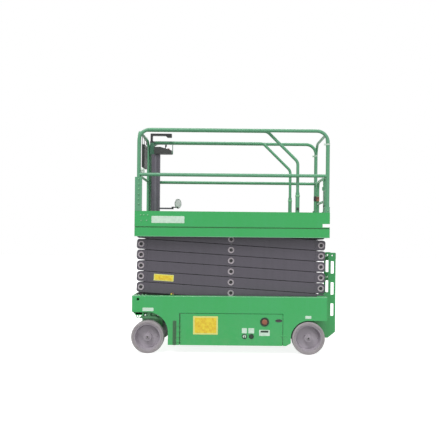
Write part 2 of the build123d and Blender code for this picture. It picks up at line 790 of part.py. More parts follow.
head_stages = [head for _, _, head in lift_cylinders]
boss_face = outer_face + boss_proud
lug_in = eye_half_width + eye_gap
for stage in range(1, stage_count + 1):
    # outer arms slope down to the rear and carry the pins
    with BuildPart() as outer_arms:
        arm_pair(stage, outer_arm_y, False)
        left = on_arm(stage, -half_arm, False)
        centre = on_arm(stage, 0, False)
        right = on_arm(stage, half_arm, False)
        shaft_reach = wall if stage == 1 else boss_face
        round_bar(pin_r, -shaft_reach, shaft_reach, *right)
        round_bar(pin_r, -boss_face, boss_face, *left)
        for side in (-1, 1):
            round_bar(pin_r, side * (inner_arm_y - 8), side * boss_face, *centre)
            for x, z in (left, centre, right):
                round_bar(boss_r, side * outer_face, side * boss_face, x, z)
                round_bar(pin_bore_r, side * (outer_face - 26), side * (wall + 1), x, z, mode=Mode.SUBTRACT)
        if stage == stage_count:
            # upper rollers run under the platform's tracks
            for side in (-1, 1):
                round_bar(roller_r, side * (inner_arm_y + 3), side * (inner_face - 3), *left)
    finish(outer_arms, f"outer_arms_{stage}")

    # inner arms rise to the rear and are joined by cross tubes
    with BuildPart() as inner_arms:
        arm_pair(stage, inner_arm_y, True)
        left = on_arm(stage, -half_arm, True)
        right = on_arm(stage, half_arm, True)
        foot = on_arm(stage, -cross_tube_at, True)
        head = on_arm(stage, cross_tube_at, True)
        for x, z in (foot, head):
            round_bar(cross_tube_r, -inner_arm_y - 1, inner_arm_y + 1, x, z)
        if stage in head_stages:
            # the upper tube is split by the two plates that hold a rod's eye
            round_bar(cross_tube_r + 1, -lug_in, lug_in, *head, mode=Mode.SUBTRACT)
            for side in (-1, 1):
                round_bar(cylinder_eye_r, side * lug_in, side * (lug_in + eye_lug_thick), *head)
        pivots = [on_arm(stage, 0, True), right] + ([left] if stage > 1 else [])
        for x, z in pivots:
            for side in (-1, 1):
                bore_ends = side * (inner_arm_y - 5), side * (inner_face + 5)
                round_bar(pin_r + running_gap, *bore_ends, x, z, mode=Mode.SUBTRACT)
        if stage == 1:
            # lower rollers run on the chassis tracks, outside the inner arms
            round_bar(pin_r, -outer_arm_y - 58, outer_arm_y + 58, *left)
            for side in (-1, 1):
                round_bar(roller_r, side * (outer_arm_y + 3), side * (outer_arm_y + 53), *left)
    finish(inner_arms, f"inner_arms_{stage}")

# ---------------------------------------------------------------- lift cylinders

for number, foot_stage, head_stage in lift_cylinders:
    foot = on_arm(foot_stage, -cross_tube_at, True)
    head = on_arm(head_stage, cross_tube_at, True)
    foot_point = Vector(foot[0], 0, foot[1])
    reach = Vector(head[0], 0, head[1]) - foot_point
    axis_plane = Plane(origin=foot_point, x_dir=(0, 1, 0), z_dir=reach.normalized())
    closed = reach.length
    gland_at = closed - cylinder_eye_r - eye_clear
    chamber_at = cylinder_eye_r + 5
    with BuildPart() as lift_barrel:
        with BuildSketch(axis_plane.offset(cylinder_eye_r - 8)):
            Circle(barrel_r)
        extrude(amount=gland_at - cylinder_eye_r + 8)
        round_bar(cylinder_eye_r, -eye_half_width, eye_half_width, *foot)
        with BuildSketch(axis_plane.offset(chamber_at)):
            Circle(barrel_bore_r)
        extrude(amount=gland_at - gland_length - chamber_at, mode=Mode.SUBTRACT)
        with BuildSketch(axis_plane.offset(gland_at - gland_length - 1)):
            Circle(rod_r + running_gap)
        extrude(amount=gland_length + 2, mode=Mode.SUBTRACT)
        round_bar(cross_tube_r + running_gap, -barrel_r - 5, barrel_r + 5, *foot, mode=Mode.SUBTRACT)
    finish(lift_barrel, f"lift_barrel_{number}")
    with BuildPart() as lift_rod:
        with BuildSketch(axis_plane.offset(chamber_at + 2)):
            Circle(barrel_bore_r - running_gap)
        extrude(amount=piston_length)
        with BuildSketch(axis_plane.offset(chamber_at + 2)):
            Circle(rod_r)
        extrude(amount=closed - chamber_at - 2 - 30)
        round_bar(cylinder_eye_r - 2, -eye_half_width, eye_half_width, *head)
    finish(lift_rod, f"lift_rod_{number}")
    print("cylinder", number, "closed length", round(closed, 1))

# ---------------------------------------------------------------- platform

step = toe_board_thick
toe_in = deck_half_width - toe_board_thick
groove_y = deck_half_width - groove_depth
beam_in = groove_y - step
with BuildPart() as platform_deck:
    # floor, side beams and proud toe boards in one folded section
    half_section = [
        (0, deck_top_z),
        (toe_in, deck_top_z),
        (toe_in, toe_board_top_z),
        (deck_half_width, toe_board_top_z),
        (deck_half_width, toe_board_bottom_z),
        (groove_y, toe_board_bottom_z),
        (groove_y, side_beam_top_z),
        (deck_half_width - side_beam_inset, side_beam_top_z),
        (deck_half_width - side_beam_inset, side_beam_bottom_z),
        (deck_half_width - side_beam_width, side_beam_bottom_z),
        (deck_half_width - side_beam_width, side_beam_bottom_z + step),
        (beam_in, side_beam_bottom_z + step),
        (beam_in, deck_underside_z),
        (0, deck_underside_z),
    ]
    extrude(outline(cross_plane(deck_front_x), half_section), amount=deck_rear_x - deck_front_x)
    mirror(about=Plane.XZ)
    # joists, end plates
    for x in (main_post_front_x + joist_pitch * joist for joist in range(joist_count)):
        block(
            (x - joist_width / 2, x + joist_width / 2),
            (-beam_in - 1, beam_in + 1),
            (deck_underside_z - joist_depth, deck_underside_z),
        )
    for x in (deck_front_x, deck_rear_x - step):
        plate_across(x, step, groove_y, (side_beam_bottom_z, deck_top_z))
    for side in (-1, 1):
        # upper roller tracks
        block(
            (pin_left_x - 50, roller_track_rear_x),
            (side * inner_arm_y, side * inner_face),
            (platform_level_z + roller_r, deck_underside_z),
        )
        # lugs and pins of the upper fixed pivot
        plate_along_y(
            [
                (pin_right_x - lug_half, deck_underside_z + 1),
                (pin_right_x + lug_half, deck_underside_z + 1),
                (pin_right_x + 35, platform_level_z - 40),
                (pin_right_x - 35, platform_level_z - 40),
            ],
            side * (inner_face + 3),
            side * (inner_face + 23),
        )
        round_bar(pin_r, side * (inner_arm_y - 6), side * (inner_face + 4), pin_right_x, platform_level_z)
    # entry step across the rear, open to the sides
    step_z, step_top_z = entry_step_z
    block(
        (entry_step_x, deck_rear_x + 1),
        (-deck_half_width - 1, deck_half_width + 1),
        entry_step_z,
        mode=Mode.SUBTRACT,
    )
    block(
        (entry_step_x - entry_step_plate, deck_rear_x - 1),
        (-beam_in - 1, beam_in + 1),
        (step_z - entry_step_plate, step_z),
    )
    block(
        (entry_step_x - entry_step_plate, entry_step_x),
        (-beam_in - 1, beam_in + 1),
        (step_z - 1, deck_underside_z + 1),
    )
finish(platform_deck, "platform_deck")

for side_name, side in (("left", -1), ("right", 1)):
    with BuildPart() as guardrail:
        y = side * rail_y
        bent_tube(
            [
                (main_post_front_x, y, deck_top_z),
                (main_post_front_x, y, top_rail_z),
                (main_post_rear_x, y, top_rail_z),
                (main_post_rear_x, y, post_base_z),
            ],
            rail_r,
            rail_corner_r,
        )
        bent_tube([(main_post_front_x, y, mid_rail_z), (main_post_rear_x, y, mid_rail_z)], mid_rail_r)
        # front post sleeve, rear post with its collar, lug and socket
        width, depth, top = front_sleeve
        block(
            (main_post_front_x - width / 2, main_post_front_x + width / 2),
            (y - depth / 2, y + depth / 2),
            (deck_top_z, top),
        )
        width, depth, top = rear_socket
        round_post(post_r, main_post_rear_x, y, post_base_z, post_collar_z)
        round_post(post_r + 2, main_post_rear_x, y, post_collar_z - 12, post_collar_z + 12)
        block((main_post_rear_x - 45, main_post_rear_x), (y - 5, y + 5), (post_collar_z - 10, post_collar_z + 10))
        block(
            (main_post_rear_x - width / 2, deck_rear_x - 1),
            (y - depth / 2, y + depth / 2),
            (post_base_z, top),
        )
        # joins the post to the toe board
        block((main_post_rear_x - 20, main_post_rear_x + 20), (y, side * toe_in), (post_base_z, post_base_z + 60))
        block((main_post_front_x - 20, main_post_front_x + 20), (y, side * toe_in), (deck_top_z, deck_top_z + 60))
    finish(guardrail, f"guardrail_{side_name}")

with BuildPart() as rear_frame:
    rear_x = main_post_rear_x
    bent_tube(
        [
            (rear_x, -rear_frame_y, post_base_z),
            (rear_x, -rear_frame_y, rear_frame_top_z),
            (rear_x, rear_frame_y, rear_frame_top_z),
            (rear_x, rear_frame_y, post_base_z),
        ],
        rear_frame_r,
        rear_corner_r,
    )
    for side in (-1, 1):
        bent_tube(
            [
                (rear_x, side * gate_post_y, post_base_z),
                (rear_x, side * gate_post_y, mid_rail_z),
                (rear_x, side * rear_frame_y, mid_rail_z),
            ],
            mid_rail_r,
            60,
        )
        # rear toe board between corner post and gate post
        block(
            (rear_x - 3, rear_x + 3),
            (side * gate_post_y, side * rear_frame_y),
            (post_base_z, toe_board_top_z),
        )
    for z in gate_hinge_heights:
        round_post(gate_knuckle_r, gate_hinge_x, gate_hinge_y, z - 20, z)
        block((gate_hinge_x, rear_x), (-gate_post_y, gate_hinge_y - 6), (z - 20, z))
        round_post(hinge_pin_r, gate_hinge_x, gate_hinge_y, z - 20, z + 22)
finish(rear_frame, "rear_frame")

with BuildPart() as entry_gate:
    bent_tube(
        [
            (rear_x, -gate_half_width, gate_bottom_z),
            (rear_x, -gate_half_width, mid_rail_z),
            (rear_x, gate_half_width, mid_rail_z),
            (rear_x, gate_half_width, gate_bottom_z),
        ],
        gate_tube_r,
        100,
    )
    for z in (gate_bottom_z + 20, gate_bar_z):
        bent_tube([(rear_x, -gate_half_width, z), (rear_x, gate_half_width, z)], gate_tube_r - 2)
    for z in gate_hinge_heights:
        round_post(gate_knuckle_r, gate_hinge_x, gate_hinge_y, z + 2, z + 22)
        block((gate_hinge_x, rear_x), (gate_hinge_y, -gate_half_width), (z + 2, z + 22))
        round_post(hinge_pin_r + running_gap, gate_hinge_x, gate_hinge_y, z, z + 24, mode=Mode.SUBTRACT)
    # latch handle
    block((rear_x - 26, rear_x + 12), (gate_half_width - 20, gate_half_width + 8), gate_latch_z)
finish(entry_gate, "entry_gate")

# ---------------------------------------------------------------- roll-out extension

with BuildPart() as extension_deck:
    # floor with side toe boards in one folded section
    inner_y = extension_half_width - extension_board
    half_section = [
        (0, extension_floor_z - extension_plate),
        (extension_half_width, extension_floor_z - extension_plate),
        (extension_half_width, toe_board_top_z),
        (inner_y, toe_board_top_z),
        (inner_y, extension_floor_z),
        (0, extension_floor_z),
    ]
    extrude(outline(cross_plane(extension_front_x), half_section), amount=extension_rear_x - extension_front_x)
    mirror(about=Plane.XZ)
    plate_across(
        extension_front_x, extension_board, extension_half_width, (extension_floor_z - extension_plate, toe_board_top_z)
    )
finish(extension_deck, "extension_deck")

with BuildPart() as extension_rails:
    front_x, rear_x = main_post_front_x, extension_post_rear_x
    for side in (-1, 1):
        y = side * extension_rail_y
        bent_tube(
            [
                (rear_x, y, extension_floor_z),
                (rear_x, y, extension_drop_z),
                (extension_drop_x, y, top_rail_z),
                (front_x, y, top_rail_z),
                (front_x, y, extension_floor_z),
            ],
            extension_rail_r,
            90,
        )
        bent_tube([(front_x, y, mid_rail_z), (rear_x, y, mid_rail_z)], extension_rail_r - 2)
        round_post(extension_socket_r, rear_x, y, extension_floor_z, extension_socket_top_z)
        round_post(
            extension_socket_r - 1, rear_x, y, extension_socket_top_z, extension_socket_top_z + 35
        )
    frame_x, front_y = extension_front_frame_x, extension_front_frame_y
    bent_tube(
        [
            (frame_x, -front_y, extension_floor_z),
            (frame_x, -front_y, top_rail_z),
            (frame_x, front_y, top_rail_z),
            (frame_x, front_y, extension_floor_z),
        ],
        extension_rail_r,
        front_corner_r,
    )
    bent_tube([(frame_x, -front_y, mid_rail_z), (frame_x, front_y, mid_rail_z)], extension_rail_r - 2)
    # ties between the front frame and the side rails
    for side in (-1, 1):
        for z in front_tie_heights:
            round_bar(8, side * (front_y + 2), side * (extension_rail_y - 2), (frame_x + front_x) / 2, z)
finish(extension_rails, "extension_rails")

# ---------------------------------------------------------------- platform controls

with BuildPart() as controller_stand:
    width, depth = stand_size
    with BuildSketch(Plane.XY.offset(extension_floor_z)):
        with Locations((stand_x, stand_y)):
            RectangleRounded(width, depth, 6)
        with Locations((stand_x + 16, stand_y - depth / 2)):
            Rectangle(8, 12, mode=Mode.SUBTRACT)
    extrude(amount=stand_top_z - extension_floor_z)
    block(
        (stand_x - width / 2 - 12, stand_x + width / 2 + 12),
        (stand_y - depth / 2 - 20, stand_y + depth / 2),
        (extension_floor_z, extension_floor_z + 8),
    )
    # shelf that carries the lamp
    block((stand_x + width / 2 - 1, lamp_x - 57), (stand_y - 15, stand_y + 15), lamp_shelf_z)
finish(controller_stand, "controller_stand")

# bracket on the stand, with a strap over the controller
strap_x = controller_rear_x + 4
with BuildPart() as controller_bracket:
    block(bracket_x, (stand_y - 26, stand_y + 26), (stand_top_z, bracket_top_z))
    plate_along_y(
        [
            (bracket_x[1] - 1, strap_z),
            (strap_x + bracket_plate, strap_z),
            (strap_x + bracket_plate, controller_z[0]),
            (strap_x, controller_z[0]),
            (strap_x, strap_z - bracket_plate),
            (bracket_x[1] - 1, strap_z - bracket_plate),
        ],
        stand_y - 15,
        stand_y + 15,
    )
finish(controller_bracket, "controller_bracket")

with BuildPart() as platform_controller:
    # wedge housing with a sloped panel
    low, high = controller_z
    front = bracket_x[1]
    with BuildSketch(side_plane(controller_y[1])):
        with BuildLine():
            FilletPolyline(
                (front, low),
                (controller_rear_x, low),
                (controller_rear_x, low + 48),
                (front + 80, high),
                (front, high),
                radius=7,
                close=True,
            )
        make_face()
    extrude(amount=controller_y[1] - controller_y[0])
finish(platform_controller, "platform_controller")

with BuildPart() as controller_guard:
    front, rear = guard_x
    inner_z = guard_top_z - guard_bar
    with BuildSketch(side_plane(stand_y + guard_width / 2)):
        with BuildLine():
            FilletPolyline(
                (front, bracket_top_z),
                (front, guard_top_z),
                (rear, guard_top_z),
                (rear, inner_z - 22),
                (rear - 58, inner_z - 22),
                (rear - 80, inner_z),
                (front + guard_bar, inner_z),
                (front + guard_bar, bracket_top_z),
                radius=5,
                close=True,
            )
        make_face()
    extrude(amount=guard_width)
finish(controller_guard, "controller_guard")

with BuildPart() as document_box:
    # open-topped box with its hanging straps
    box_wall = 3
    block(document_box_x, document_box_y, document_box_z)
    inner_x, inner_y, inner_z = (
        (low + box_wall, high - box_wall) for low, high in (document_box_x, document_box_y, document_box_z)
    )
    block(inner_x, inner_y, (inner_z[0], document_box_z[1] + 1), mode=Mode.SUBTRACT)
    for y in (document_box_y[0] + 30, document_box_y[1] - 70):
        block(
            (extension_front_frame_x + extension_rail_r + running_gap, document_box_x[0] + 1),
            (y, y + 40),
            (document_box_z[1] - 30, top_rail_z),
        )
finish(document_box, "document_box")

with BuildPart() as work_lamp:
    facing = (sin(lamp_turn), -cos(lamp_turn), 0)
    lamp_plane = Plane(origin=(lamp_x, stand_y, lamp_z), x_dir=(0, 0, 1), z_dir=facing)
    with BuildSketch(lamp_plane.offset(-lamp_thick / 2)):
        Circle(lamp_r)
    extrude(amount=lamp_thick)
    shelf_top = lamp_shelf_z[1]
    block((lamp_x - 73, lamp_x + 10), (stand_y - 8, stand_y + 8), (shelf_top, shelf_top + 10))
finish(work_lamp, "work_lamp")
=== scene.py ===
import json
import math
import random

import bmesh
import bpy
from mathutils import Matrix, Vector


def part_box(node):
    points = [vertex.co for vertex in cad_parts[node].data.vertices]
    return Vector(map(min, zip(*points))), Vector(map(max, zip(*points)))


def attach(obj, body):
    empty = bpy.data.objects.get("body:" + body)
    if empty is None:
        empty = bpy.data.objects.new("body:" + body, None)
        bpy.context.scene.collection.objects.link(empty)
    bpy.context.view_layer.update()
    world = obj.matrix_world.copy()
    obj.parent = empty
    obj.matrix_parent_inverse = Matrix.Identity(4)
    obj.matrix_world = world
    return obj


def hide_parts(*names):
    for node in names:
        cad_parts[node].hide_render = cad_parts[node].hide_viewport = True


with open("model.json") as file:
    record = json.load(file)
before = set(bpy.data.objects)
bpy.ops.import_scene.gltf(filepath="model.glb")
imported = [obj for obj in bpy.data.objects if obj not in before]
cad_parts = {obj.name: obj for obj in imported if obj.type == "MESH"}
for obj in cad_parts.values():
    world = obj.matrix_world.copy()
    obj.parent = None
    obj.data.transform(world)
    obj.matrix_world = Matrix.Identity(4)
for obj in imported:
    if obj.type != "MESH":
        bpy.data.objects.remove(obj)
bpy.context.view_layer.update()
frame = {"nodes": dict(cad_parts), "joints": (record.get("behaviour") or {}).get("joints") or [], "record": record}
bodyOfNode = {node: body for body, nodes in frame["record"]["behaviour"]["bodies"].items() for node in nodes}
jointPlace = {joint["name"]: Vector(joint["pos_m"]) for joint in frame["joints"] if "pos_m" in joint}
stageCount = sum(1 for node in bodyOfNode if node.startswith("outer_arms_"))
nearSide, farSide = Vector((0, -1, 0)), Vector((0, 1, 0))
along, upward = Vector((1, 0, 0)), Vector((0, 0, 1))


def tone(red, green, blue):  # a screen colour, 0 to 255, as the shader wants it
    return [((c / 255 + 0.055) / 1.055) ** 2.4 if c > 10 else c / 3295 for c in (red, green, blue)] + [1.0]


# shader groups


def feed(tree, node, sockets):
    for key, value in sockets.items():
        if isinstance(value, bpy.types.NodeSocket):
            tree.links.new(value, node.inputs[key])
        else:
            node.inputs[key].default_value = value


def addNode(tree, kind, sockets=None, **settings):
    made = tree.nodes.new("ShaderNode" + kind)
    for key, value in settings.items():
        setattr(made, key, value)
    feed(tree, made, sockets or {})
    return made


def ownPlace(tree):
    return addNode(tree, "TexCoord").outputs["Object"]


def newGroup(name, inputs, outputs):
    tree = bpy.data.node_groups.new(name, "ShaderNodeTree")
    for label, kind, value in inputs:
        socket = tree.interface.new_socket(label, in_out="INPUT", socket_type="NodeSocket" + kind)
        if value is not None:
            socket.default_value = value
    for label, kind in outputs:
        tree.interface.new_socket(label, in_out="OUTPUT", socket_type="NodeSocket" + kind)
    start, end = tree.nodes.new("NodeGroupInput"), tree.nodes.new("NodeGroupOutput")
    return tree, start.outputs, end.inputs


def calc(tree, operation, first, second=0.0, clamp=False):
    made = addNode(tree, "Math", {0: first, 1: second}, operation=operation, use_clamp=clamp)
    return made.outputs[0]


def spread(tree, value, low, high):  # 0 at low, 1 at high
    return addNode(tree, "MapRange", {"Value": value, "From Min": low, "From Max": high}, clamp=True).outputs[0]


def blendColor(tree, factor, first, second):
    sockets = {0: factor, 6: first, 7: second}
    return addNode(tree, "Mix", sockets, data_type="RGBA", clamp_factor=True).outputs[2]


def stretched(tree, place, scale):
    return addNode(tree, "Mapping", {"Vector": place, "Scale": scale}).outputs[0]


def noiseOf(tree, place, scale, detail=3.0, rough=0.55, distortion=0.0):
    sockets = {"Vector": place, "Scale": scale, "Detail": detail, "Roughness": rough, "Distortion": distortion}
    return addNode(tree, "TexNoise", sockets).outputs[0]


grainOutputs = (("Color", "Color"), ("Roughness", "Float"), ("Height", "Float"))


def closeGrain(tree, end, *results):
    for value, (label, kind) in zip(results, grainOutputs):
        tree.links.new(value, end[label])
    return tree


def cloudOf(tree, low, high, *noise):
    return spread(tree, noiseOf(tree, *noise), low, high)


def makeEdgeWear():  # 1 where an edge is rubbed bare
    inputs = (("Rounded", "Vector", None), ("Scale", "Float", 40.0), ("Amount", "Float", 0.5))
    tree, start, end = newGroup("edgeWear", inputs, (("Mask", "Float"),))
    normals = {0: addNode(tree, "NewGeometry").outputs["Normal"], 1: start["Rounded"]}
    cosine = addNode(tree, "VectorMath", normals, operation="DOT_PRODUCT").outputs["Value"]
    turn = spread(tree, calc(tree, "SUBTRACT", 1.0, cosine), 0.015, 0.16)
    place = ownPlace(tree)
    patchy = cloudOf(tree, 0.46, 0.62, place, start["Scale"], 4.0)
    worn = calc(tree, "MULTIPLY", turn, patchy)
    tree.links.new(calc(tree, "MULTIPLY", worn, start["Amount"], True), end["Mask"])
    return tree


def makePaintFilm():  # sprayed paint: cloudy tone, run marks, settled dust, fine scratches
    inputs = (
        ("Color", "Color", None),
        ("Shade", "Color", None),
        ("Dust", "Color", tone(176, 172, 160)),
        ("Dust amount", "Float", 0.2),
        ("Gloss", "Float", 0.32),
        ("Peel", "Float", 260.0),
    )
    tree, start, end = newGroup("paintFilm", inputs, grainOutputs)
    place = ownPlace(tree)
    cloud = cloudOf(tree, 0.3, 0.7, place, 1.7, 3.0)
    mottle = cloudOf(tree, 0.35, 0.65, place, 34.0, 4.0)
    runs = cloudOf(tree, 0.45, 0.75, stretched(tree, place, (22, 22, 1.3)), 1.0, 3.0)
    mixed = calc(tree, "ADD", calc(tree, "MULTIPLY", cloud, 0.5), calc(tree, "MULTIPLY", mottle, 0.18))
    mixed = calc(tree, "ADD", mixed, calc(tree, "MULTIPLY", runs, 0.32), True)
    color = blendColor(tree, mixed, start["Color"], start["Shade"])
    facing = addNode(tree, "SeparateXYZ", {0: addNode(tree, "NewGeometry").outputs["Normal"]})
    settled = spread(tree, facing.outputs["Z"], 0.5, 1.0)
    low = spread(tree, addNode(tree, "SeparateXYZ", {0: place}).outputs["Z"], 0.5, 0.08)
    grime = calc(tree, "MAXIMUM", settled, calc(tree, "MULTIPLY", low, 0.55))
    grime = calc(tree, "MULTIPLY", grime, cloudOf(tree, 0.35, 0.7, place, 9.0, 5.0, 0.65))
    dusty = calc(tree, "MULTIPLY", grime, start["Dust amount"], True)
    color = blendColor(tree, dusty, color, start["Dust"])
    scratchPlace = stretched(tree, place, (9, 60, 140))
    scratch = cloudOf(tree, 0.7, 0.76, scratchPlace, 1.0, 2.0, 0.5, 1.4)
    rough = calc(tree, "ADD", start["Gloss"], calc(tree, "MULTIPLY", dusty, 0.5))
    rough = calc(tree, "ADD", rough, calc(tree, "MULTIPLY", scratch, 0.12), True)
    peel = noiseOf(tree, place, start["Peel"], 2.0)
    height = calc(tree, "SUBTRACT", calc(tree, "MULTIPLY", peel, 0.3), calc(tree, "MULTIPLY", scratch, 0.25))
    return closeGrain(tree, end, color, rough, height)


def makeMetalGrain():  # machined or plated metal
    inputs = (
        ("Color", "Color", None),
        ("Tarnish", "Color", None),
        ("Gloss", "Float", 0.3),
        ("Stretch", "Vector", (40, 400, 40)),
    )
    tree, start, end = newGroup("metalGrain", inputs, grainOutputs)
    place = ownPlace(tree)
    lines = noiseOf(tree, stretched(tree, place, start["Stretch"]), 3.0, 4.0)
    spots = cloudOf(tree, 0.48, 0.7, place, 55.0, 5.0, 0.6)
    color = blendColor(tree, calc(tree, "MULTIPLY", spots, 0.6), start["Color"], start["Tarnish"])
    rough = calc(tree, "ADD", start["Gloss"], calc(tree, "MULTIPLY", spread(tree, lines, 0.3, 0.7), 0.16))
    rough = calc(tree, "ADD", rough, calc(tree, "MULTIPLY", spots, 0.2), True)
    return closeGrain(tree, end, color, rough, lines)


def makeRubberGrain():  # moulded rubber or plastic: stipple and scuffs
    inputs = (
        ("Color", "Color", None),
        ("Scuff", "Color", None),
        ("Scuff amount", "Float", 0.5),
        ("Gloss", "Float", 0.6),
        ("Stipple", "Float", 420.0),
        ("Patch", "Float", 11.0),
    )
    tree, start, end = newGroup("rubberGrain", inputs, grainOutputs)
    place = ownPlace(tree)
    patches = cloudOf(tree, 0.42, 0.66, place, start["Patch"], 6.0, 0.62)
    specks = cloudOf(tree, 0.6, 0.7, place, 150.0, 2.0)
    marks = calc(tree, "MAXIMUM", patches, calc(tree, "MULTIPLY", specks, 0.6))
    marks = calc(tree, "MULTIPLY", marks, start["Scuff amount"], True)
    color = blendColor(tree, marks, start["Color"], start["Scuff"])
    rough = calc(tree, "ADD", start["Gloss"], calc(tree, "MULTIPLY", marks, 0.18), True)
    grain = noiseOf(tree, place, start["Stipple"], 2.0)
    height = calc(tree, "ADD", calc(tree, "MULTIPLY", grain, 0.5), calc(tree, "MULTIPLY", patches, 0.2))
    return closeGrain(tree, end, color, rough, height)


def makeRegion():  # 1 inside a box of the machine's own space
    tree, start, end = newGroup("region", (("Low", "Vector", None), ("High", "Vector", None)), (("Mask", "Float"),))
    place = ownPlace(tree)
    above = addNode(tree, "VectorMath", {0: place, 1: start["Low"]}, operation="SUBTRACT").outputs[0]
    below = addNode(tree, "VectorMath", {0: start["High"], 1: place}, operation="SUBTRACT").outputs[0]
    least = addNode(tree, "VectorMath", {0: above, 1: below}, operation="MINIMUM").outputs[0]
    parts = addNode(tree, "SeparateXYZ", {0: least}).outputs
    smallest = calc(tree, "MINIMUM", calc(tree, "MINIMUM", parts["X"], parts["Y"]), parts["Z"])
    tree.links.new(spread(tree, smallest, -0.0004, 0.0004), end["Mask"])
    return tree


groups = {
    "edgeWear": makeEdgeWear(),
    "paintFilm": makePaintFilm(),
    "metalGrain": makeMetalGrain(),
    "rubberGrain": makeRubberGrain(),
    "region": makeRegion(),
}


materials = {}


# one grain group, edge wear over it, then any regions of another colour
def finishOf(name, group, values, edge, wear=None, metallic=0.0, bump=0.15, coat=0.0, regions=()):
    material = bpy.data.materials.new(name)
    material.use_nodes = True
    tree = material.node_tree
    rounded = addNode(tree, "Bevel", {"Radius": edge}, samples=4).outputs[0]
    grain = addNode(tree, "Group", values, node_tree=groups[group]).outputs
    color = grain["Color"]
    if wear:
        sockets = {"Rounded": rounded, "Amount": wear["amount"], "Scale": wear["scale"]}
        bare = addNode(tree, "Group", sockets, node_tree=groups["edgeWear"]).outputs[0]
        color = blendColor(tree, bare, color, wear["color"])
    for low, high, regionColor in regions:
        inside = addNode(tree, "Group", {"Low": low, "High": high}, node_tree=groups["region"]).outputs[0]
        color = blendColor(tree, inside, color, regionColor)
    relief = {"Height": grain["Height"], "Normal": rounded, "Strength": bump, "Distance": 0.001}
    bumped = addNode(tree, "Bump", relief).outputs[0]
    sockets = {"Base Color": color, "Roughness": grain["Roughness"], "Normal": bumped}
    sockets.update({"Metallic": metallic, "Coat Weight": coat, "Coat Roughness": 0.15})
    feed(tree, tree.nodes["Principled BSDF"], sockets)
    materials[name] = material


def rubbed(amount, scale, *color):  # wear of the edges
    return {"amount": amount, "scale": scale, "color": tone(*color)}


def painted(name, color, shade, gloss, edge, dust=0.2, **more):
    values = {"Color": color, "Shade": shade, "Gloss": gloss, "Dust amount": dust}
    finishOf(name, "paintFilm", values, edge, **more)


def moulded(name, color, scuff, gloss, edge, amount, ink=None, **more):
    values = {"Color": color, "Scuff": scuff, "Gloss": gloss, "Scuff amount": amount, **(ink or {})}
    finishOf(name, "rubberGrain", values, edge, **more)


def metalled(name, color, tarnish, gloss, edge, stretch=(40, 400, 40), **more):
    values = {"Color": color, "Tarnish": tarnish, "Gloss": gloss, "Stretch": stretch}
    finishOf(name, "metalGrain", values, edge, **more)


paint = {"green": tone(40, 166, 80), "black": tone(30, 30, 32)}


def band(xLow, xHigh, zLow, zHigh, color):  # a region right across the machine
    return (xLow, -1, zLow), (xHigh, 1, zHigh), color


chassisLow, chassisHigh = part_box("chassis_frame")
# painted shade along the hinge line of each door tray
hingeX = jointPlace["tray_left_swing"].x
hingeReach = {"x": (hingeX - 0.021, hingeX + 0.0225), "z": (chassisLow.z - 0.01, chassisLow.z + 0.29), "out": 0.5755}
# painted shade in the gap at the front of each door
doorGap = {"x": (-0.658, -0.644), "z": (0.102, 0.470), "out": 0.574}
zones = []
# the hinge strips and door gaps are darkened as painted shade, on both sides of the chassis
for side in (-1, 1):
    for reach, color in ((hingeReach, tone(50, 102, 62)), (doorGap, tone(26, 104, 50))):
        yLow, yHigh = sorted((side * reach["out"], side))
        low = (reach["x"][0], yLow, reach["z"][0])
        zones.append((low, (reach["x"][1], yHigh, reach["z"][1]), color))
zones.append(band(-1.30, 1.30, 0.6645, 0.6685, tone(128, 186, 148)))  # painted highlight along the top edge of the chassis
deckZones = [
    band(-1.30, 1.30, 1.4615, 1.4745, tone(10, 122, 52)),  # painted shade in the groove of the beam
    band(-1.30, 1.30, 1.355, 1.365, tone(110, 178, 134)),  # painted highlight on its lower edge
]
standLow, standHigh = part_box("controller_stand")
standZones = [
    band(standHigh.x - 0.02, 1, 1.7, 1.76, tone(22, 22, 24)),  # lamp shelf
    band(-1.071, -1.043, 1.5, 2.6, tone(112, 108, 118)),  # painted highlight, then painted shade, in runs along the post
    band(-1.034, -1.028, 1.5, 2.6, tone(72, 72, 76)),
    band(-1.130, -1.108, 1.5, 2.6, tone(66, 68, 70)),
]
dishFace, bossReach = 0.558, 0.06
rimZones = [((-2, -dishFace, -1), (2, dishFace, 1), tone(168, 161, 169))]  # dish painted lighter to cancel its own shading, then the hub bosses painted darker to damp their lit faces
for axle in ("wheel_front_left_spin", "wheel_rear_left_spin"):
    middle = jointPlace[axle]
    for low, high in ((-0.6, -dishFace), (dishFace, 0.6)):
        bossLow = (middle.x - bossReach, low, middle.z - bossReach)
        bossHigh = (middle.x + bossReach, high, middle.z + bossReach)
        rimZones.append((bossLow, bossHigh, tone(150, 143, 151)))
tubeZones = [
    ((0.98, -0.60, 2.441), (1.14, 0.60, 2.459), tone(196, 216, 200)),  # collars of the rear frame
    band(-1.30, 1.30, 1.4, 1.603, paint["green"]),  # toe boards and sockets
]
bracketZones = [band(-1.30, 1.30, 2.592, 2.7, paint["black"])]  # its dark head

# name, colour, second colour, gloss, edge radius, then the group's own inputs and the settings of finishOf
bareSteel = rubbed(0.75, 45.0, 196, 198, 194)
tubeLook = {"wear": {**bareSteel, "amount": 0.4}, "coat": 0.08, "regions": tubeZones}
green = (paint["green"], tone(52, 168, 95), 0.3, 0.002)
painted("greenPaint", *green, wear=bareSteel, coat=0.25)
painted("greenHinged", *green, wear=bareSteel, coat=0.25, regions=zones)
painted("greenDeck", *green, wear=bareSteel, coat=0.25, regions=deckZones)
# a darker copy of the machine's green, painted shade over the controller bracket
painted("bracketPaint", tone(62, 112, 86), tone(48, 88, 70), 0.4, 0.0015, wear=bareSteel, regions=bracketZones)
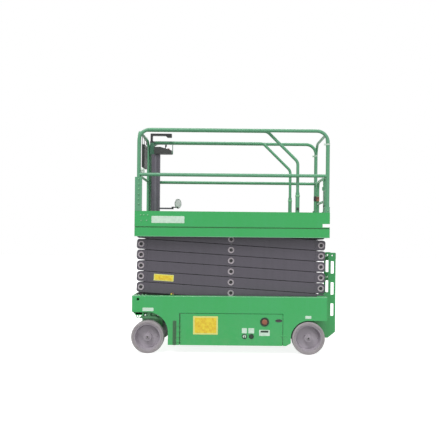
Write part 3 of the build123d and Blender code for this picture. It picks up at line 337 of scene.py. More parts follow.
# paler green with more settled dust, and lighter still as a painted highlight on bolt heads and collars and painted
# light on the shaded yoke plates
painted("greenDustAndHighlight", tone(116, 192, 134), tone(142, 194, 156), 0.45, 0.002, 0.4, wear=bareSteel)
painted("greenTube", tone(84, 158, 112), tone(104, 156, 128), 0.42, 0.001, 0.06, **tubeLook)
armWear = rubbed(0.5, 30.0, 150, 146, 152)
painted("armPaint", tone(84, 79, 89), tone(72, 69, 77), 0.42, 0.003, 0.12, wear=armWear)
standWear, rimWear = rubbed(0.4, 50.0, 150, 148, 154), rubbed(0.5, 60.0, 172, 166, 170)
painted("standPaint", tone(98, 92, 104), tone(84, 80, 90), 0.4, 0.002, wear=standWear, regions=standZones)
moulded("tyreRubber", tone(160, 154, 157), tone(134, 128, 130), 0.62, 0.002, 0.42, bump=0.3)
painted("rimPaint", tone(166, 159, 167), tone(150, 144, 152), 0.42, 0.003, wear=rimWear, regions=rimZones)
moulded("blackPlastic", paint["black"], tone(70, 70, 72), 0.45, 0.0015, 0.3)
moulded("controlBlack", tone(30, 52, 38), tone(52, 74, 58), 0.45, 0.001, 0.3)
moulded("boxPlastic", tone(48, 50, 50), tone(72, 72, 70), 0.5, 0.002, 0.4)
painted("blackPaint", paint["black"], tone(44, 44, 46), 0.4, 0.0015, wear=rubbed(0.5, 60.0, 120, 120, 120))
metalled("zincSteel", tone(178, 182, 180), tone(136, 134, 128), 0.34, 0.0008, metallic=0.55, bump=0.08)
metalled("pinSteel", tone(164, 156, 162), tone(130, 122, 128), 0.42, 0.001, metallic=0.25, bump=0.1)
metalled("chromeRod", tone(222, 222, 226), tone(190, 190, 192), 0.1, 0.001, metallic=1.0, bump=0.03)
moulded("redPlastic", tone(152, 92, 70), tone(124, 76, 60), 0.35, 0.001, 0.45)
ink, paleInk = {"Stipple": 90.0, "Patch": 34.0}, {"Stipple": 90.0, "Patch": 30.0}
moulded("labelYellow", tone(236, 214, 62), tone(214, 160, 40), 0.4, 0.0005, 0.75, ink, bump=0.04)
moulded("labelPale", tone(210, 234, 216), tone(178, 206, 186), 0.4, 0.0005, 0.6, paleInk, bump=0.04)
moulded("labelEdge", tone(222, 224, 132), tone(204, 204, 110), 0.4, 0.0005, 0.4, ink, bump=0.04)
lensLook = {"metallic": 0.1, "bump": 0.05, "coat": 0.6}
metalled("lensGlass", tone(238, 232, 238), tone(216, 210, 216), 0.35, 0.0008, (90, 90, 90), **lensLook)
moulded("lampShell", tone(186, 182, 188), tone(160, 156, 162), 0.5, 0.001, 0.4, coat=0.2)
moulded("batteryCase", tone(52, 52, 56), tone(84, 82, 80), 0.5, 0.004, 0.4)
print("finishes made:", len(materials))

# mesh helpers


def axes(direction):
    w = Vector(direction).normalized()
    u = w.orthogonal().normalized() if abs(w.z) > 0.9 else w.cross(upward).normalized()
    return u, w.cross(u).normalized(), w


def lathe(mesh, profile, origin, direction, steps=32, slot=0, closed=False, turn=0.0):
    u, v, w = axes(direction)
    rings = []
    for radius, height in profile:
        middle = Vector(origin) + w * height
        if radius < 1e-7:
            rings.append([mesh.verts.new(middle)])
            continue
        ring = []
        for i in range(steps):
            angle = turn + 2 * math.pi * i / steps
            ring.append(mesh.verts.new(middle + (u * math.cos(angle) + v * math.sin(angle)) * radius))
        rings.append(ring)
    pairs = list(zip(rings, rings[1:])) + ([(rings[-1], rings[0])] if closed else [])
    for a, b in pairs:
        for i in range(max(len(a), len(b))):
            corners = [a[i % len(a)], a[(i + 1) % len(a)], b[(i + 1) % len(b)], b[i % len(b)]]
            unique = [c for k, c in enumerate(corners) if c not in corners[:k]]
            if len(unique) > 2:
                mesh.faces.new(unique).material_index = slot


def roundedOutline(width, height, radius):
    steps, points = 4, []
    radius = min(radius, width / 2 - 1e-6, height / 2 - 1e-6)
    for cx, cy, start in ((1, 1, 0), (-1, 1, 90), (-1, -1, 180), (1, -1, 270)):
        for i in range(steps + 1):
            angle = math.radians(start + 90 * i / steps)
            x = cx * (width / 2 - radius) + radius * math.cos(angle)
            y = cy * (height / 2 - radius) + radius * math.sin(angle)
            points.append((x, y))
    return points


# a rounded plate whose back lies at centre and whose face looks along right x up
def plate(mesh, centre, right, up, size, thick, radius=0.004, chamfer=0.0005, slot=0):
    right, up = Vector(right).normalized(), Vector(up).normalized()
    out = right.cross(up)
    chamfer = min(chamfer, radius * 0.8, thick * 0.8)
    levels = ((0.0, 0.0), (0.0, thick - chamfer), (chamfer, thick))
    rings = []
    for inset, level in levels:
        shape = roundedOutline(size[0] - 2 * inset, size[1] - 2 * inset, radius - inset)
        rings.append([mesh.verts.new(Vector(centre) + right * x + up * y + out * level) for x, y in shape])
    for a, b in zip(rings, rings[1:]):
        for i in range(len(a)):
            k = (i + 1) % len(a)
            mesh.faces.new((a[i], a[k], b[k], b[i])).material_index = slot
    mesh.faces.new(rings[-1]).material_index = slot
    mesh.faces.new(list(reversed(rings[0]))).material_index = slot


def tube(mesh, path, radius, steps=12, slot=0, ripple=0.0):
    path = [Vector(p) for p in path]
    rings, side = [], None
    for i, point in enumerate(path):
        ahead = (path[min(i + 1, len(path) - 1)] - path[max(i - 1, 0)]).normalized()
        if side is None:
            side = axes(ahead)[0]
        side = (side - ahead * side.dot(ahead)).normalized()
        other = ahead.cross(side)
        size = radius * (1 + (ripple if i % 2 else -ripple))
        angles = [2 * math.pi * k / steps for k in range(steps)]
        ring = [mesh.verts.new(point + (side * math.cos(a) + other * math.sin(a)) * size) for a in angles]
        rings.append(ring)
    for a, b in zip(rings, rings[1:]):
        for i in range(steps):
            k = (i + 1) % steps
            mesh.faces.new((a[i], a[k], b[k], b[i])).material_index = slot
    mesh.faces.new(list(reversed(rings[0]))).material_index = slot
    mesh.faces.new(rings[-1]).material_index = slot


def bentPath(corners, bend):  # straight runs with round corners, for rigid wire and rod
    steps, corners = 6, [Vector(c) for c in corners]
    path = [corners[0]]
    for before, corner, after in zip(corners, corners[1:], corners[2:]):
        a, b = (before - corner).normalized(), (after - corner).normalized()
        first, last = corner + a * bend, corner + b * bend
        for i in range(steps + 1):
            t = i / steps
            path.append(first * (1 - t) ** 2 + corner * 2 * t * (1 - t) + last * t**2)
    return path + [corners[-1]]


# a hex head on a washer
def bolt(mesh, place, direction, across=0.013, slot=0, washer=True):
    half, place = across / 2, Vector(place)
    if washer:
        ring = [(half * 0.4, 0), (half * 1.6, 0), (half * 1.6, 0.0016), (half * 1.5, 0.002), (0, 0.002)]
        lathe(mesh, ring, place, direction, 20, slot)
    base = place + Vector(direction).normalized() * (0.002 if washer else 0)
    corner, tall = half * 1.155, across * 0.55
    head = [(corner * 0.9, 0), (corner, 0.0004), (corner, tall * 0.82), (corner * 0.86, tall), (0, tall)]
    lathe(mesh, head, base, direction, 6, slot, turn=random.random())


def circle(count, radius, first, second, turn=0.0):  # offsets of points round a middle
    angles = [2 * math.pi * (i + turn) / count for i in range(count)]
    return [(first * math.cos(angle) + second * math.sin(angle)) * radius for angle in angles]


def weldBead(mesh, start, end, radius):
    start, end = Vector(start), Vector(end)
    count = max(3, int((end - start).length / 0.004))
    tube(mesh, [start.lerp(end, i / count) for i in range(count + 1)], radius, 6, ripple=0.14)


def finishPiece(name, mesh, body, slots, smooth=35):
    bmesh.ops.recalc_face_normals(mesh, faces=mesh.faces)
    data = bpy.data.meshes.new(name)
    mesh.to_mesh(data)
    mesh.free()
    data.shade_smooth()
    data.set_sharp_from_angle(angle=math.radians(smooth))
    piece = bpy.data.objects.new(name, data)
    bpy.context.scene.collection.objects.link(piece)
    for slot in slots:
        data.materials.append(materials[slot])
    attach(piece, body)
    return piece


random.seed(7)

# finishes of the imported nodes

nodeFinish = (  # finish, starts of node names; every other node has the plain green
    ("greenHinged", ("chassis_frame", "tray_door")),
    ("greenDustAndHighlight", "steering_yoke"),
    ("zincSteel", "tie_rod"),
    ("batteryCase", "battery_pack"),
    ("blackPaint", ("hydraulic_power_unit", "controller_guard")),
    ("blackPlastic", "ground_controls"),
    ("greenDeck", ("platform_deck", "extension_deck")),
    ("greenTube", ("guardrail", "rear_frame", "entry_gate", "extension_rails")),
    ("standPaint", "controller_stand"),
    ("bracketPaint", "controller_bracket"),
    ("boxPlastic", ("platform_controller", "document_box", "work_lamp")),
    ("tyreRubber", "tyre"),
    ("rimPaint", "rim"),
    ("armPaint", ("outer", "inner", "lift_barrel")),
    ("chromeRod", "lift_rod"),
)
for node, item in frame["nodes"].items():
    kind = next((finish for finish, starts in nodeFinish if node.startswith(starts)), "greenPaint")
    item.data.materials.clear()
    item.data.materials.append(materials[kind])
print("packed nodes finished")

# scissor pins

pinRing = {"outer": 0.0375, "inner": 0.0205, "proud": 0.0022, "capDepth": 0.006}
outer, inner, proud, depth = pinRing.values()
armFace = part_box("outer_arms_2")[1].y
for stage in range(1, stageCount + 1):
    rightPin = jointPlace["lift" if stage == 1 else f"outer_{stage}_pivot"]
    centrePin = jointPlace[f"inner_{stage}_pivot"]
    leftPin = 2 * centrePin - rightPin
    mesh = bmesh.new()
    for pin in (leftPin, centrePin, rightPin):
        for facing in (nearSide, farSide):
            place = Vector((pin.x, 0, pin.z)) + facing * armFace
            ring = [(outer, -0.001), (outer, proud * 0.5), (outer - 0.0015, proud), (inner + 0.002, proud)]
            lathe(mesh, ring + [(inner, proud * 0.4), (inner, -0.02)], place, facing, 40)
            # each bore holds a cap in black paint, which also stands in as painted shade for the dark hole
            cap = [(inner, -depth), (inner * 0.75, -depth), (inner * 0.68, -depth - 0.002), (0.006, -depth - 0.002)]
            lathe(mesh, cap + [(0.0045, -depth + 0.002), (0, -depth + 0.003)], place, facing, 24, 1)
    finishPiece(f"pinRings_{stage}", mesh, f"outer_{stage}", ("pinSteel", "blackPaint"))
print("pin rings made")

# wheels

wheelHub = {"nut": 0.017, "washer": 0.0305, "lip": 0.0475, "recess": 0.020, "stubOut": 0.112}
tyreShape = {"groove": 0.003, "shoulder": 0.009, "grooves": (0.026, 0.006)}
nut, washer, lip, recess, stubOut = wheelHub.values()
groove, shoulder = tyreShape["groove"], tyreShape["shoulder"]
for corner in ("front_left", "front_right", "rear_left", "rear_right"):
    low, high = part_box(f"tyre_{corner}")
    centre, radius, half = (low + high) / 2, (high.z - low.z) / 2, (high.y - low.y) / 2
    facing = nearSide if centre.y < 0 else farSide
    rimLow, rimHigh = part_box(f"rim_{corner}")
    bead = (rimHigh.z - rimLow.z) / 2
    mesh = bmesh.new()
    side = [(bead, half - 0.008), (bead + 0.002, half - 0.004), (bead + 0.004, half - 0.0012)]
    side += [(bead + 0.009, half - 0.0012), (bead + 0.011, half - 0.003), (bead + 0.013, half - 0.003)]
    side += [(bead + 0.015, half - 0.0005), (radius - shoulder, half - 0.0005)]
    side += [(radius - shoulder * 0.45, half - 0.002), (radius - 0.0025, half - 0.0055)]
    side.append((radius - 0.0006, half - shoulder))
    tread = [(radius, half - shoulder - 0.004)]
    for edge in tyreShape["grooves"]:
        tread += [(radius, edge + 0.006), (radius - groove, edge + 0.004)]
        tread += [(radius - groove, edge), (radius, edge - 0.002)]
    profile = side + tread
    profile += [(r, -h) for r, h in reversed(profile)]
    lathe(mesh, profile, centre, facing, 96, closed=True)
    piece = finishPiece(f"tyreSkin_{corner}", mesh, f"wheel_{corner}", ("tyreRubber",))
    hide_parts(f"tyre_{corner}")
    mesh = bmesh.new()
    face = centre + facing * (half - recess)
    washerRings = [(washer, -0.001), (washer, 0.003), (washer - 0.002, 0.0042), (nut * 0.6, 0.0042)]
    lathe(mesh, washerRings, face, facing, 40, 1)
    lipRings = [(lip + 0.001, -0.003), (lip + 0.0012, 0.0004), (lip, 0.0016), (lip - 0.003, 0.0018)]
    lathe(mesh, lipRings + [(lip - 0.0045, 0.0004), (lip - 0.0045, -0.003)], face, facing, 48, 2)
    hexNut = [(nut, 0.004), (nut, 0.012), (nut * 0.9, 0.014), (0.0115, 0.014), (0.0110, 0.006)]
    lathe(mesh, hexNut, face, facing, 6)
    axleEnd = [(0.0112, 0.006), (0.0112, 0.0085), (0.009, 0.0105), (0.003, 0.0105), (0, 0.0095)]
    lathe(mesh, axleEnd, face, facing, 24, 3)
    for offset in circle(6, nut * 0.72, along, upward, 0.5):
        tooth = face + offset + facing * 0.0138
        plate(mesh, tooth, facing.cross(upward), upward, (0.0045, 0.0045), 0.0032, 0.001, 0.0004)
    tube(mesh, [face - facing * back + along * stubOut for back in (0.014, 0.002)], 0.004, 12, 3)
    finishPiece(f"hubNut_{corner}", mesh, f"wheel_{corner}", ("pinSteel", "rimPaint", "rimPaint", "boxPlastic"))
print("wheels detailed")

# blank labels

labels = (  # name, body, x range, z range, finish, edge finish
    ("doorLabel", "tray_left", (-0.496, -0.208), (0.225, 0.438), "labelYellow", "labelEdge"),
    ("doorTagA", "tray_left", (0.071, 0.129), (0.243, 0.304), "labelPale", "labelPale"),
    ("doorTagB", "tray_left", (0.146, 0.214), (0.243, 0.304), "labelPale", "labelPale"),
    ("frontTag", "chassis", (-1.086, -0.957), (0.490, 0.531), "labelPale", "labelPale"),
    ("rearTag", "chassis", (0.806, 0.876), (0.418, 0.452), "labelPale", "labelPale"),
    ("deckSign", "platform", (-0.992, -0.609), (1.515, 1.597), "labelPale", "labelPale"),
)
labelThick = 0.0012
skin = -0.575  # outer face of the chassis and the left door
for name, body, (xLow, xHigh), (zLow, zHigh), finish, edgeFinish in labels:
    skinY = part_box("platform_deck")[0].y if body == "platform" else skin
    mesh = bmesh.new()
    centre = Vector(((xLow + xHigh) / 2, skinY, (zLow + zHigh) / 2))
    size = (xHigh - xLow, zHigh - zLow)
    plate(mesh, centre, along, upward, size, labelThick * 0.6, 0.006, 0.0002, 1)
    border = 0.018 if finish != edgeFinish else 0.003
    inset = (size[0] - 2 * border, size[1] - 2 * border)
    plate(mesh, centre + nearSide * labelThick * 0.5, along, upward, inset, labelThick * 0.5, 0.005, 0.0002)
    finishPiece(name, mesh, body, (finish, edgeFinish))
armSign = {"fromPin": 0.8555, "edge": (0.235, 0.078), "face": (0.215, 0.060)}
mesh = bmesh.new()
pinA, pinB = jointPlace["outer_2_pivot"], jointPlace["inner_2_pivot"]
slope = (pinA - pinB).normalized()
labelAt = pinB - slope * (pinB.x + armSign["fromPin"])
labelAt.y = -(armFace - 0.004)
armUp = nearSide.cross(slope)
armUp = armUp if armUp.z > 0 else -armUp
plate(mesh, labelAt, slope, armUp, armSign["edge"], 0.0008, 0.006, 0.0002, 1)
plate(mesh, labelAt + nearSide * 0.0006, slope, armUp, armSign["face"], 0.0008, 0.005, 0.0002)
finishPiece("armLabel", mesh, "outer_2", ("labelYellow", "labelEdge"))
print("labels laid")

# ground controls on the left door

controls = {
    "stop": (0.334, 0.377, 0.032, 0.053),
    "knobs": ((0.101, 0.208), (0.182, 0.208)),
    "plateX": (0.271, 0.395),
    "plateZ": (0.215, 0.285),
    "latch": (0.497, 0.392, 0.46),  # the last is its height over its width
    "hasp": (0.517, 0.602, 0.215),
}
mesh = bmesh.new()
x, z, button, ring = controls["stop"]
at = Vector((x, skin, z))
collar = [(ring, 0), (ring, 0.003), (ring - 0.002, 0.005), (button + 0.006, 0.005), (button + 0.003, 0.003)]
lathe(mesh, collar + [(0.02, 0.003)], at, nearSide, 48)
mushroom = [(0.018, 0.003), (0.018, 0.008), (button - 0.004, 0.0085), (button, 0.011), (button - 0.001, 0.0145)]
crown = [(button * 0.8, 0.017), (button * 0.4, 0.0182), (0, 0.0185)]
lathe(mesh, mushroom + crown, at, nearSide, 40, 1)
for i, (x, z) in enumerate(controls["knobs"]):
    at = Vector((x, skin, z))
    bezel = [(0.029, 0), (0.029, 0.004), (0.027, 0.0055), (0.021, 0.0055), (0.0205, 0.003), (0, 0.003)]
    lathe(mesh, bezel, at, nearSide, 40)
    lathe(mesh, [(0.019, 0.003), (0.0185, 0.013), (0.016, 0.0155), (0, 0.016)], at, nearSide, 32, 2 if i == 0 else 0)
    plate(mesh, at + nearSide * 0.0155, along, upward, (0.009, 0.034), 0.0022, 0.002, 0.0006)
xLow, xHigh = controls["plateX"]
zLow, zHigh = controls["plateZ"]
centre = Vector(((xLow + xHigh) / 2, skin, (zLow + zHigh) / 2))
plate(mesh, centre, along, upward, (xHigh - xLow, zHigh - zLow), 0.0014, 0.006, 0.0004, 2)
plate(mesh, centre + nearSide * 0.0012 + upward * 0.016, along, upward, (0.09, 0.022), 0.0012, 0.004, 0.0004)
x, z, squash = controls["latch"]
cup = [(0.040, 0.0), (0.040, 0.002), (0.037, 0.003), (0.034, 0.0022), (0.030, 0.0006), (0, 0.0004)]
start = len(mesh.verts)
lathe(mesh, cup, Vector((x, skin, z)), nearSide, 40, 4)
mesh.verts.ensure_lookup_table()
for vert in list(mesh.verts)[start:]:
    vert.co.z = z + (vert.co.z - z) * squash
controlSlots = ("controlBlack", "redPlastic", "labelPale", "zincSteel", "blackPaint")
piece = finishPiece("groundControls", mesh, "tray_left", controlSlots)
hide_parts("ground_controls")
mesh = bmesh.new()
xLow, xHigh, z = controls["hasp"]
plate(mesh, Vector(((xLow + xHigh) / 2, skin, z)), along, upward, (xHigh - xLow, 0.016), 0.003, 0.004, 0.0008)
bolt(mesh, Vector((xLow + 0.012, skin - 0.003, z)), nearSide, 0.007, 0, False)
finishPiece("doorHasp", mesh, "tray_left", ("greenPaint",))
print("ground controls made")

# chassis details

ladderWeld = (0.05, 0.33)  # its two ends above the underside
ladderLow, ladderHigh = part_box("rear_ladder")
mesh = bmesh.new()
for y in (ladderLow.y, ladderHigh.y):
    foot, top = [(chassisHigh.x, y, chassisLow.z + rise) for rise in ladderWeld]
    weldBead(mesh, foot, top, 0.003)
finishPiece("ladderWelds", mesh, "chassis", ("greenPaint",))
flangeBolts = {"x": (-1.165, -1.135, -1.09, -1.05), "out": 0.555, "across": 0.012}
mesh = bmesh.new()
for facing in (nearSide, farSide):
    for x in flangeBolts["x"]:
        bolt(mesh, Vector((x, facing.y * flangeBolts["out"], chassisHigh.z)), upward, flangeBolts["across"])
finishPiece("frontBolts", mesh, "chassis", ("greenDustAndHighlight",))

# safety prop's end on the left flange
prop = {"x": -0.745, "y": -0.535, "thick": 0.004, "studs": ((-0.010, 0.020, 0.007), (0.010, 0.027, 0.006))}
mesh = bmesh.new()
foot = Vector((prop["x"], prop["y"], chassisHigh.z))
plate(mesh, foot, along, farSide, (0.05, 0.03), prop["thick"], 0.004, 0.001)
for slot, (x, top, radius) in enumerate(prop["studs"], 1):
    tube(mesh, [foot + along * x + upward * z for z in (prop["thick"], top)], radius, 16, slot)
finishPiece("propEnd", mesh, "chassis", ("greenPaint", "labelYellow", "redPlastic"))

# treads of the ladder
rungs = {"tops": (1.138, 0.880, 0.622, 0.364), "x": (1.125, 0.045, 2), "y": (-0.16, 0.04, 9)}
firstX, pitchX, countX = rungs["x"]
firstY, pitchY, countY = rungs["y"]
mesh = bmesh.new()
for top in rungs["tops"]:
    for i in range(countY):
        for k in range(countX):
            at = Vector((firstX + pitchX * k, firstY + pitchY * i, top))
            stud = [(0.008, 0), (0.0065, 0.0015), (0.004, 0.0022), (0.003, 0.0012), (0, 0.0012)]
            lathe(mesh, stud, at, upward, 12)
finishPiece("treadStuds", mesh, "chassis", ("greenPaint",))
print("chassis detailed")

# platform floor pattern

floorPattern = {"pitch": 0.030, "length": 0.024, "width": 0.008, "height": 0.0011, "crest": 0.28}


def treadPlate(mesh, xRange, yRange, z):
    pitch, length = floorPattern["pitch"], floorPattern["length"]
    columns = int((xRange[1] - xRange[0]) / pitch)
    rows = int((yRange[1] - yRange[0]) / pitch)
    for i in range(columns):
        for k in range(rows):
            x = xRange[0] + pitch * (i + 0.5)
            y = yRange[0] + pitch * (k + 0.5)
            turn = math.radians(45 if (i + k) % 2 else -45)
            a = Vector((math.cos(turn), math.sin(turn), 0))
            b = Vector((-a.y, a.x, 0)) * floorPattern["width"] / 2
            middle = Vector((x, y, z))
            tips = [mesh.verts.new(middle + a * s * length / 2) for s in (-1, 1)]
            sides = [mesh.verts.new(middle + b * s) for s in (-1, 1)]
            crest = middle + upward * floorPattern["height"]
            ridge = [mesh.verts.new(crest + a * s * length * floorPattern["crest"]) for s in (-1, 1)]
            for s in (0, 1):
                mesh.faces.new((tips[s], sides[0], ridge[s]))
                mesh.faces.new((tips[s], ridge[s], sides[1]))
            mesh.faces.new((sides[0], ridge[0], ridge[1]))
            mesh.faces.new((sides[1], ridge[1], ridge[0]))


deckLow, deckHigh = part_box("platform_deck")
extLow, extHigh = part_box("extension_deck")
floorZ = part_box("guardrail_left")[0].z
treads = (  # name, body, x range, y range, z
    ("deckTread", "platform", (deckLow.x + 0.02, deckHigh.x - 0.06), (-0.50, 0.50), floorZ),
    ("extensionTread", "extension", (extLow.x + 0.08, extHigh.x - 0.06), (-0.43, 0.43), extLow.z + 0.006),
)
for name, body, xRange, yRange, z in treads:
    mesh = bmesh.new()
    treadPlate(mesh, xRange, yRange, z)
    finishPiece(name, mesh, body, ("greenPaint",), smooth=10)

# rail fittings

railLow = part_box("guardrail_left")[0]
frontPostX = railLow.x + 0.040
railBolts = {
    "strip": (2.025, -0.058, 6),
    "socket": ((-1.117, 1.607), (-1.081, 1.609), (-1.038, 1.607), (-1.112, 1.540), (-1.048, 1.543)),
    "rearX": 1.056,
    "rearZ": (1.56, 1.60, 1.68),
    "rearOut": 0.556,
}
mesh = bmesh.new()
for y, facing in ((railLow.y, nearSide), (-railLow.y, farSide)):
    top, pitch, count = railBolts["strip"]
    for i in range(count):
        bolt(mesh, Vector((frontPostX + 0.004, y, top + pitch * i)), facing, 0.010)
    for x, z in railBolts["socket"]:
        bolt(mesh, Vector((x, facing.y * deckHigh.y, z)), facing, 0.010)
    for z in railBolts["rearZ"]:
        bolt(mesh, Vector((railBolts["rearX"], facing.y * railBolts["rearOut"], z)), facing, 0.011)
finishPiece("railBolts", mesh, "platform", ("greenDustAndHighlight",))
anchor = {"x": frontPostX + 0.047, "z": 2.118, "ring": 0.018, "wire": 0.004}
mesh = bmesh.new()
for y in (railLow.y + 0.02, -railLow.y - 0.02):
    at = Vector((anchor["x"], y, anchor["z"]))
    plate(mesh, at + farSide * 0.003, along, upward, (0.044, 0.060), 0.006, 0.010, 0.001)
    ring = [at + nearSide * 0.008 + offset for offset in circle(20, anchor["ring"], along, upward)]
    tube(mesh, ring + ring[:1], anchor["wire"], 8, 1)
finishPiece("anchorRings", mesh, "platform", ("labelPale", "zincSteel"))

# stop rod of the gate beside the near rear post, with a clip at its foot
rodRun = {"x": 1.0145, "y": -0.520, "top": 1.905, "foot": 1.70, "radius": 0.0032}
mesh = bmesh.new()
x, y, top, foot, radius = rodRun.values()
ends = [(x + 0.030, y, top + 0.012), (x, y, top), (x, y, foot), (x + 0.022, y, foot - 0.010)]
tube(mesh, bentPath(ends, 0.010), radius, 10)
plate(mesh, Vector((x, y + 0.003, foot + 0.03)), along, upward, (0.014, 0.022), 0.008, 0.002, 0.0006, 1)
finishPiece("gateStopRod", mesh, "platform", ("pinSteel", "blackPlastic"))

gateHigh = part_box("entry_gate")[1]
latchShape = {"wide": 0.072, "tall": 0.068, "deep": 0.024, "split": 0.034, "x": 1.034, "z": 1.866}
mesh = bmesh.new()
latchAt = Vector((latchShape["x"], gateHigh.y - 0.028, latchShape["z"]))
wide, tall, deep, split = list(latchShape.values())[:4]
left, right = latchAt + along * (split - wide) / 2, latchAt + along * split / 2
plate(mesh, left, along, upward, (split, tall), deep, 0.008, 0.0016)
plate(mesh, right - upward * 0.002, along, upward, (wide - split, tall * 0.86), deep * 0.8, 0.006, 0.0016, 1)
plate(mesh, right + nearSide * deep * 0.8 + upward * 0.012, along, upward, (0.024, 0.010), 0.005, 0.003, 0.001)
for k in (-1, 1):
    bolt(mesh, left + nearSide * deep + upward * 0.022 * k, nearSide, 0.007, 0, False)
finishPiece("gateLatch", mesh, "gate", ("blackPlastic", "redPlastic"))
print("platform detailed")

# lamp and controller

lampShape = {"radius": 0.064, "thick": 0.016, "turn": 0.93, "bezel": 0.004, "armZ": 1.747}
radius, half, turn, bezel = lampShape["radius"], lampShape["thick"] / 2, lampShape["turn"], lampShape["bezel"]
lampLow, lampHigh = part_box("work_lamp")
lampFacing = Vector((math.sin(turn), -math.cos(turn), 0))
halfWidth = radius * math.cos(turn) + half * math.sin(turn)
lampCentre = Vector((lampHigh.x - halfWidth, (standLow.y + 0.020 + standHigh.y) / 2, lampHigh.z - radius))
mesh = bmesh.new()
shell = [(0, -half), (radius * 0.5, -half), (radius * 0.86, -half + 0.002), (radius - 0.001, -half + 0.006)]
shell += [(radius, half - 0.003), (radius, half - 0.001), (radius - 0.001, half), (radius - bezel, half)]
shell += [(radius - bezel - 0.001, half - 0.003), (radius * 0.9, half - 0.0035)]
lathe(mesh, shell, lampCentre, lampFacing, 48)
lens = [(radius * 0.91, half - 0.0035), (radius * 0.8, half - 0.002), (radius * 0.5, half - 0.0006)]
lathe(mesh, lens + [(0, half - 0.0002)], lampCentre, lampFacing, 48, 1)
for i in range(7):  # cooling ribs
    x = (i - 3) * radius * 0.2
    tall = math.sqrt(max(0.0, (radius * 0.8) ** 2 - x * x))
    side = lampFacing.cross(upward)
    at = lampCentre + side * x - lampFacing * half
    plate(mesh, at, -side, upward, (0.003, 2 * tall), 0.0015, 0.001, 0.0003)
tube(mesh, [lampCentre - upward * (radius + 0.002), lampCentre - upward * (radius - 0.012)], 0.008, 12, 2)
finishPiece("workLamp", mesh, "extension", ("lampShell", "lensGlass", "blackPlastic"))
mesh = bmesh.new()
armMiddle = Vector(((lampLow.x + lampCentre.x) / 2, lampCentre.y - 0.008, lampShape["armZ"]))
plate(mesh, armMiddle, along, upward, (lampCentre.x - lampLow.x + 0.016, 0.014), 0.016, 0.003, 0.001)
bolt(mesh, Vector((lampLow.x + 0.012, lampCentre.y, lampShape["armZ"] + 0.005)), upward, 0.010, 1)
bracketPiece = finishPiece("lampBracket", mesh, "extension", ("blackPaint", "zincSteel"))
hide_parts("work_lamp")
print("lamp made")

controller = {"edge": 0.05, "fall": 0.045, "stop": (0.045, -0.02, -0.011), "button": (-0.045, 0.018, 0.011)}
boxLow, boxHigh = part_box("platform_controller")
boxMidY, edge, fall = (boxLow.y + boxHigh.y) / 2, controller["edge"], controller["fall"]
mesh = bmesh.new()
panelOut = Vector((fall, 0, boxHigh.x - boxLow.x - edge)).normalized()
panelMid = Vector(((boxLow.x + edge + boxHigh.x) / 2, boxMidY, boxHigh.z - fall / 2))
stick = [(0.016, 0), (0.016, 0.004), (0.008, 0.008), (0.007, 0.03), (0.012, 0.036), (0.012, 0.05), (0.008, 0.055)]
lathe(mesh, stick + [(0, 0.056)], panelMid, panelOut, 24)
stopKnob = [(0.014, 0), (0.014, 0.006), (0.016, 0.008), (0.015, 0.014), (0.008, 0.016), (0, 0.0165)]
lathe(mesh, stopKnob, panelMid + Vector(controller["stop"]), panelOut, 24, 1)
x, y, z = controller["button"]
for k in (-1, 1):
    at = panelMid + Vector((x, y * k, z))
    lathe(mesh, [(0.008, 0), (0.008, 0.004), (0.006, 0.005), (0, 0.005)], at, panelOut, 20, 2)
tag = Vector((boxHigh.x - 0.001, boxMidY, boxLow.z + 0.022))
plate(mesh, tag, farSide, upward, (0.05, 0.026), 0.003, 0.004, 0.001, 3)
finishPiece("controllerKnobs", mesh, "extension", ("blackPlastic", "redPlastic", "labelYellow", "labelPale"))
print("controls detailed")

# chassis: door seals, bearing gussets, welds of the axle

seals = {"front": (-0.672, -0.640), "rear": (0.536, 0.556), "y": (0.559, 0.5645), "z": (0.105, 0.465)}
kingpin = {"out": 0.44, "z": 0.478}
gussets = (  # x range, y range, z range
    ((-1.083, -1.062), (0.412, 0.468), (0.4375, 0.481)),
    ((-1.098, -1.083), (0.372, 0.468), (0.4215, 0.445)),
)


def block(mesh, low, high, chamfer=0.001):
    wide, deep, tall = (b - a for a, b in zip(low, high))
    foot = Vector(((low[0] + high[0]) / 2, (low[1] + high[1]) / 2, low[2]))
    plate(mesh, foot, along, farSide, (wide, deep), tall, chamfer * 2, chamfer)


def mirrored(side, near, far):
    return sorted((side * near, side * far))


mesh = bmesh.new()
for side in (-1, 1):
    yLow, yHigh = mirrored(side, *seals["y"])
    for end in ("front", "rear"):
        xLow, xHigh = seals[end]
        block(mesh, (xLow, yLow, seals["z"][0]), (xHigh, yHigh, seals["z"][1]))
finishPiece("doorSeals", mesh, "chassis", ("blackPlastic",))
mesh = bmesh.new()
for side in (-1, 1):
    for (xLow, xHigh), (near, far), (foot, top) in gussets:
        yLow, yHigh = mirrored(side, near, far)
        block(mesh, (xLow, yLow, foot), (xHigh, yHigh, top), 0.003)
    collar = [(0.058, 0.0), (0.0605, 0.001), (0.0605, 0.005), (0.058, 0.006)]
    lathe(mesh, collar, (jointPlace["steering"].x, side * kingpin["out"], kingpin["z"]), upward, 40)
finishPiece("bearingGussets", mesh, "chassis", ("greenDustAndHighlight",))
mesh = bmesh.new()
axle = {"x": jointPlace["wheel_rear_left_spin"].x, "z": jointPlace["wheel_rear_left_spin"].z, "half": 0.045}
square = [(-1, -1), (1, -1), (1, 1), (-1, 1), (-1, -1)]
for side in (-1, 1):
    for y in (0.3785, 0.3955):
        ends = [(axle["x"] + u * axle["half"], side * y, axle["z"] + v * axle["half"]) for u, v in square]
        for start, end in zip(ends, ends[1:]):
            weldBead(mesh, start, end, 0.003)
finishPiece("axleWelds", mesh, "chassis", ("greenPaint",))

# yokes: motor screws and ports

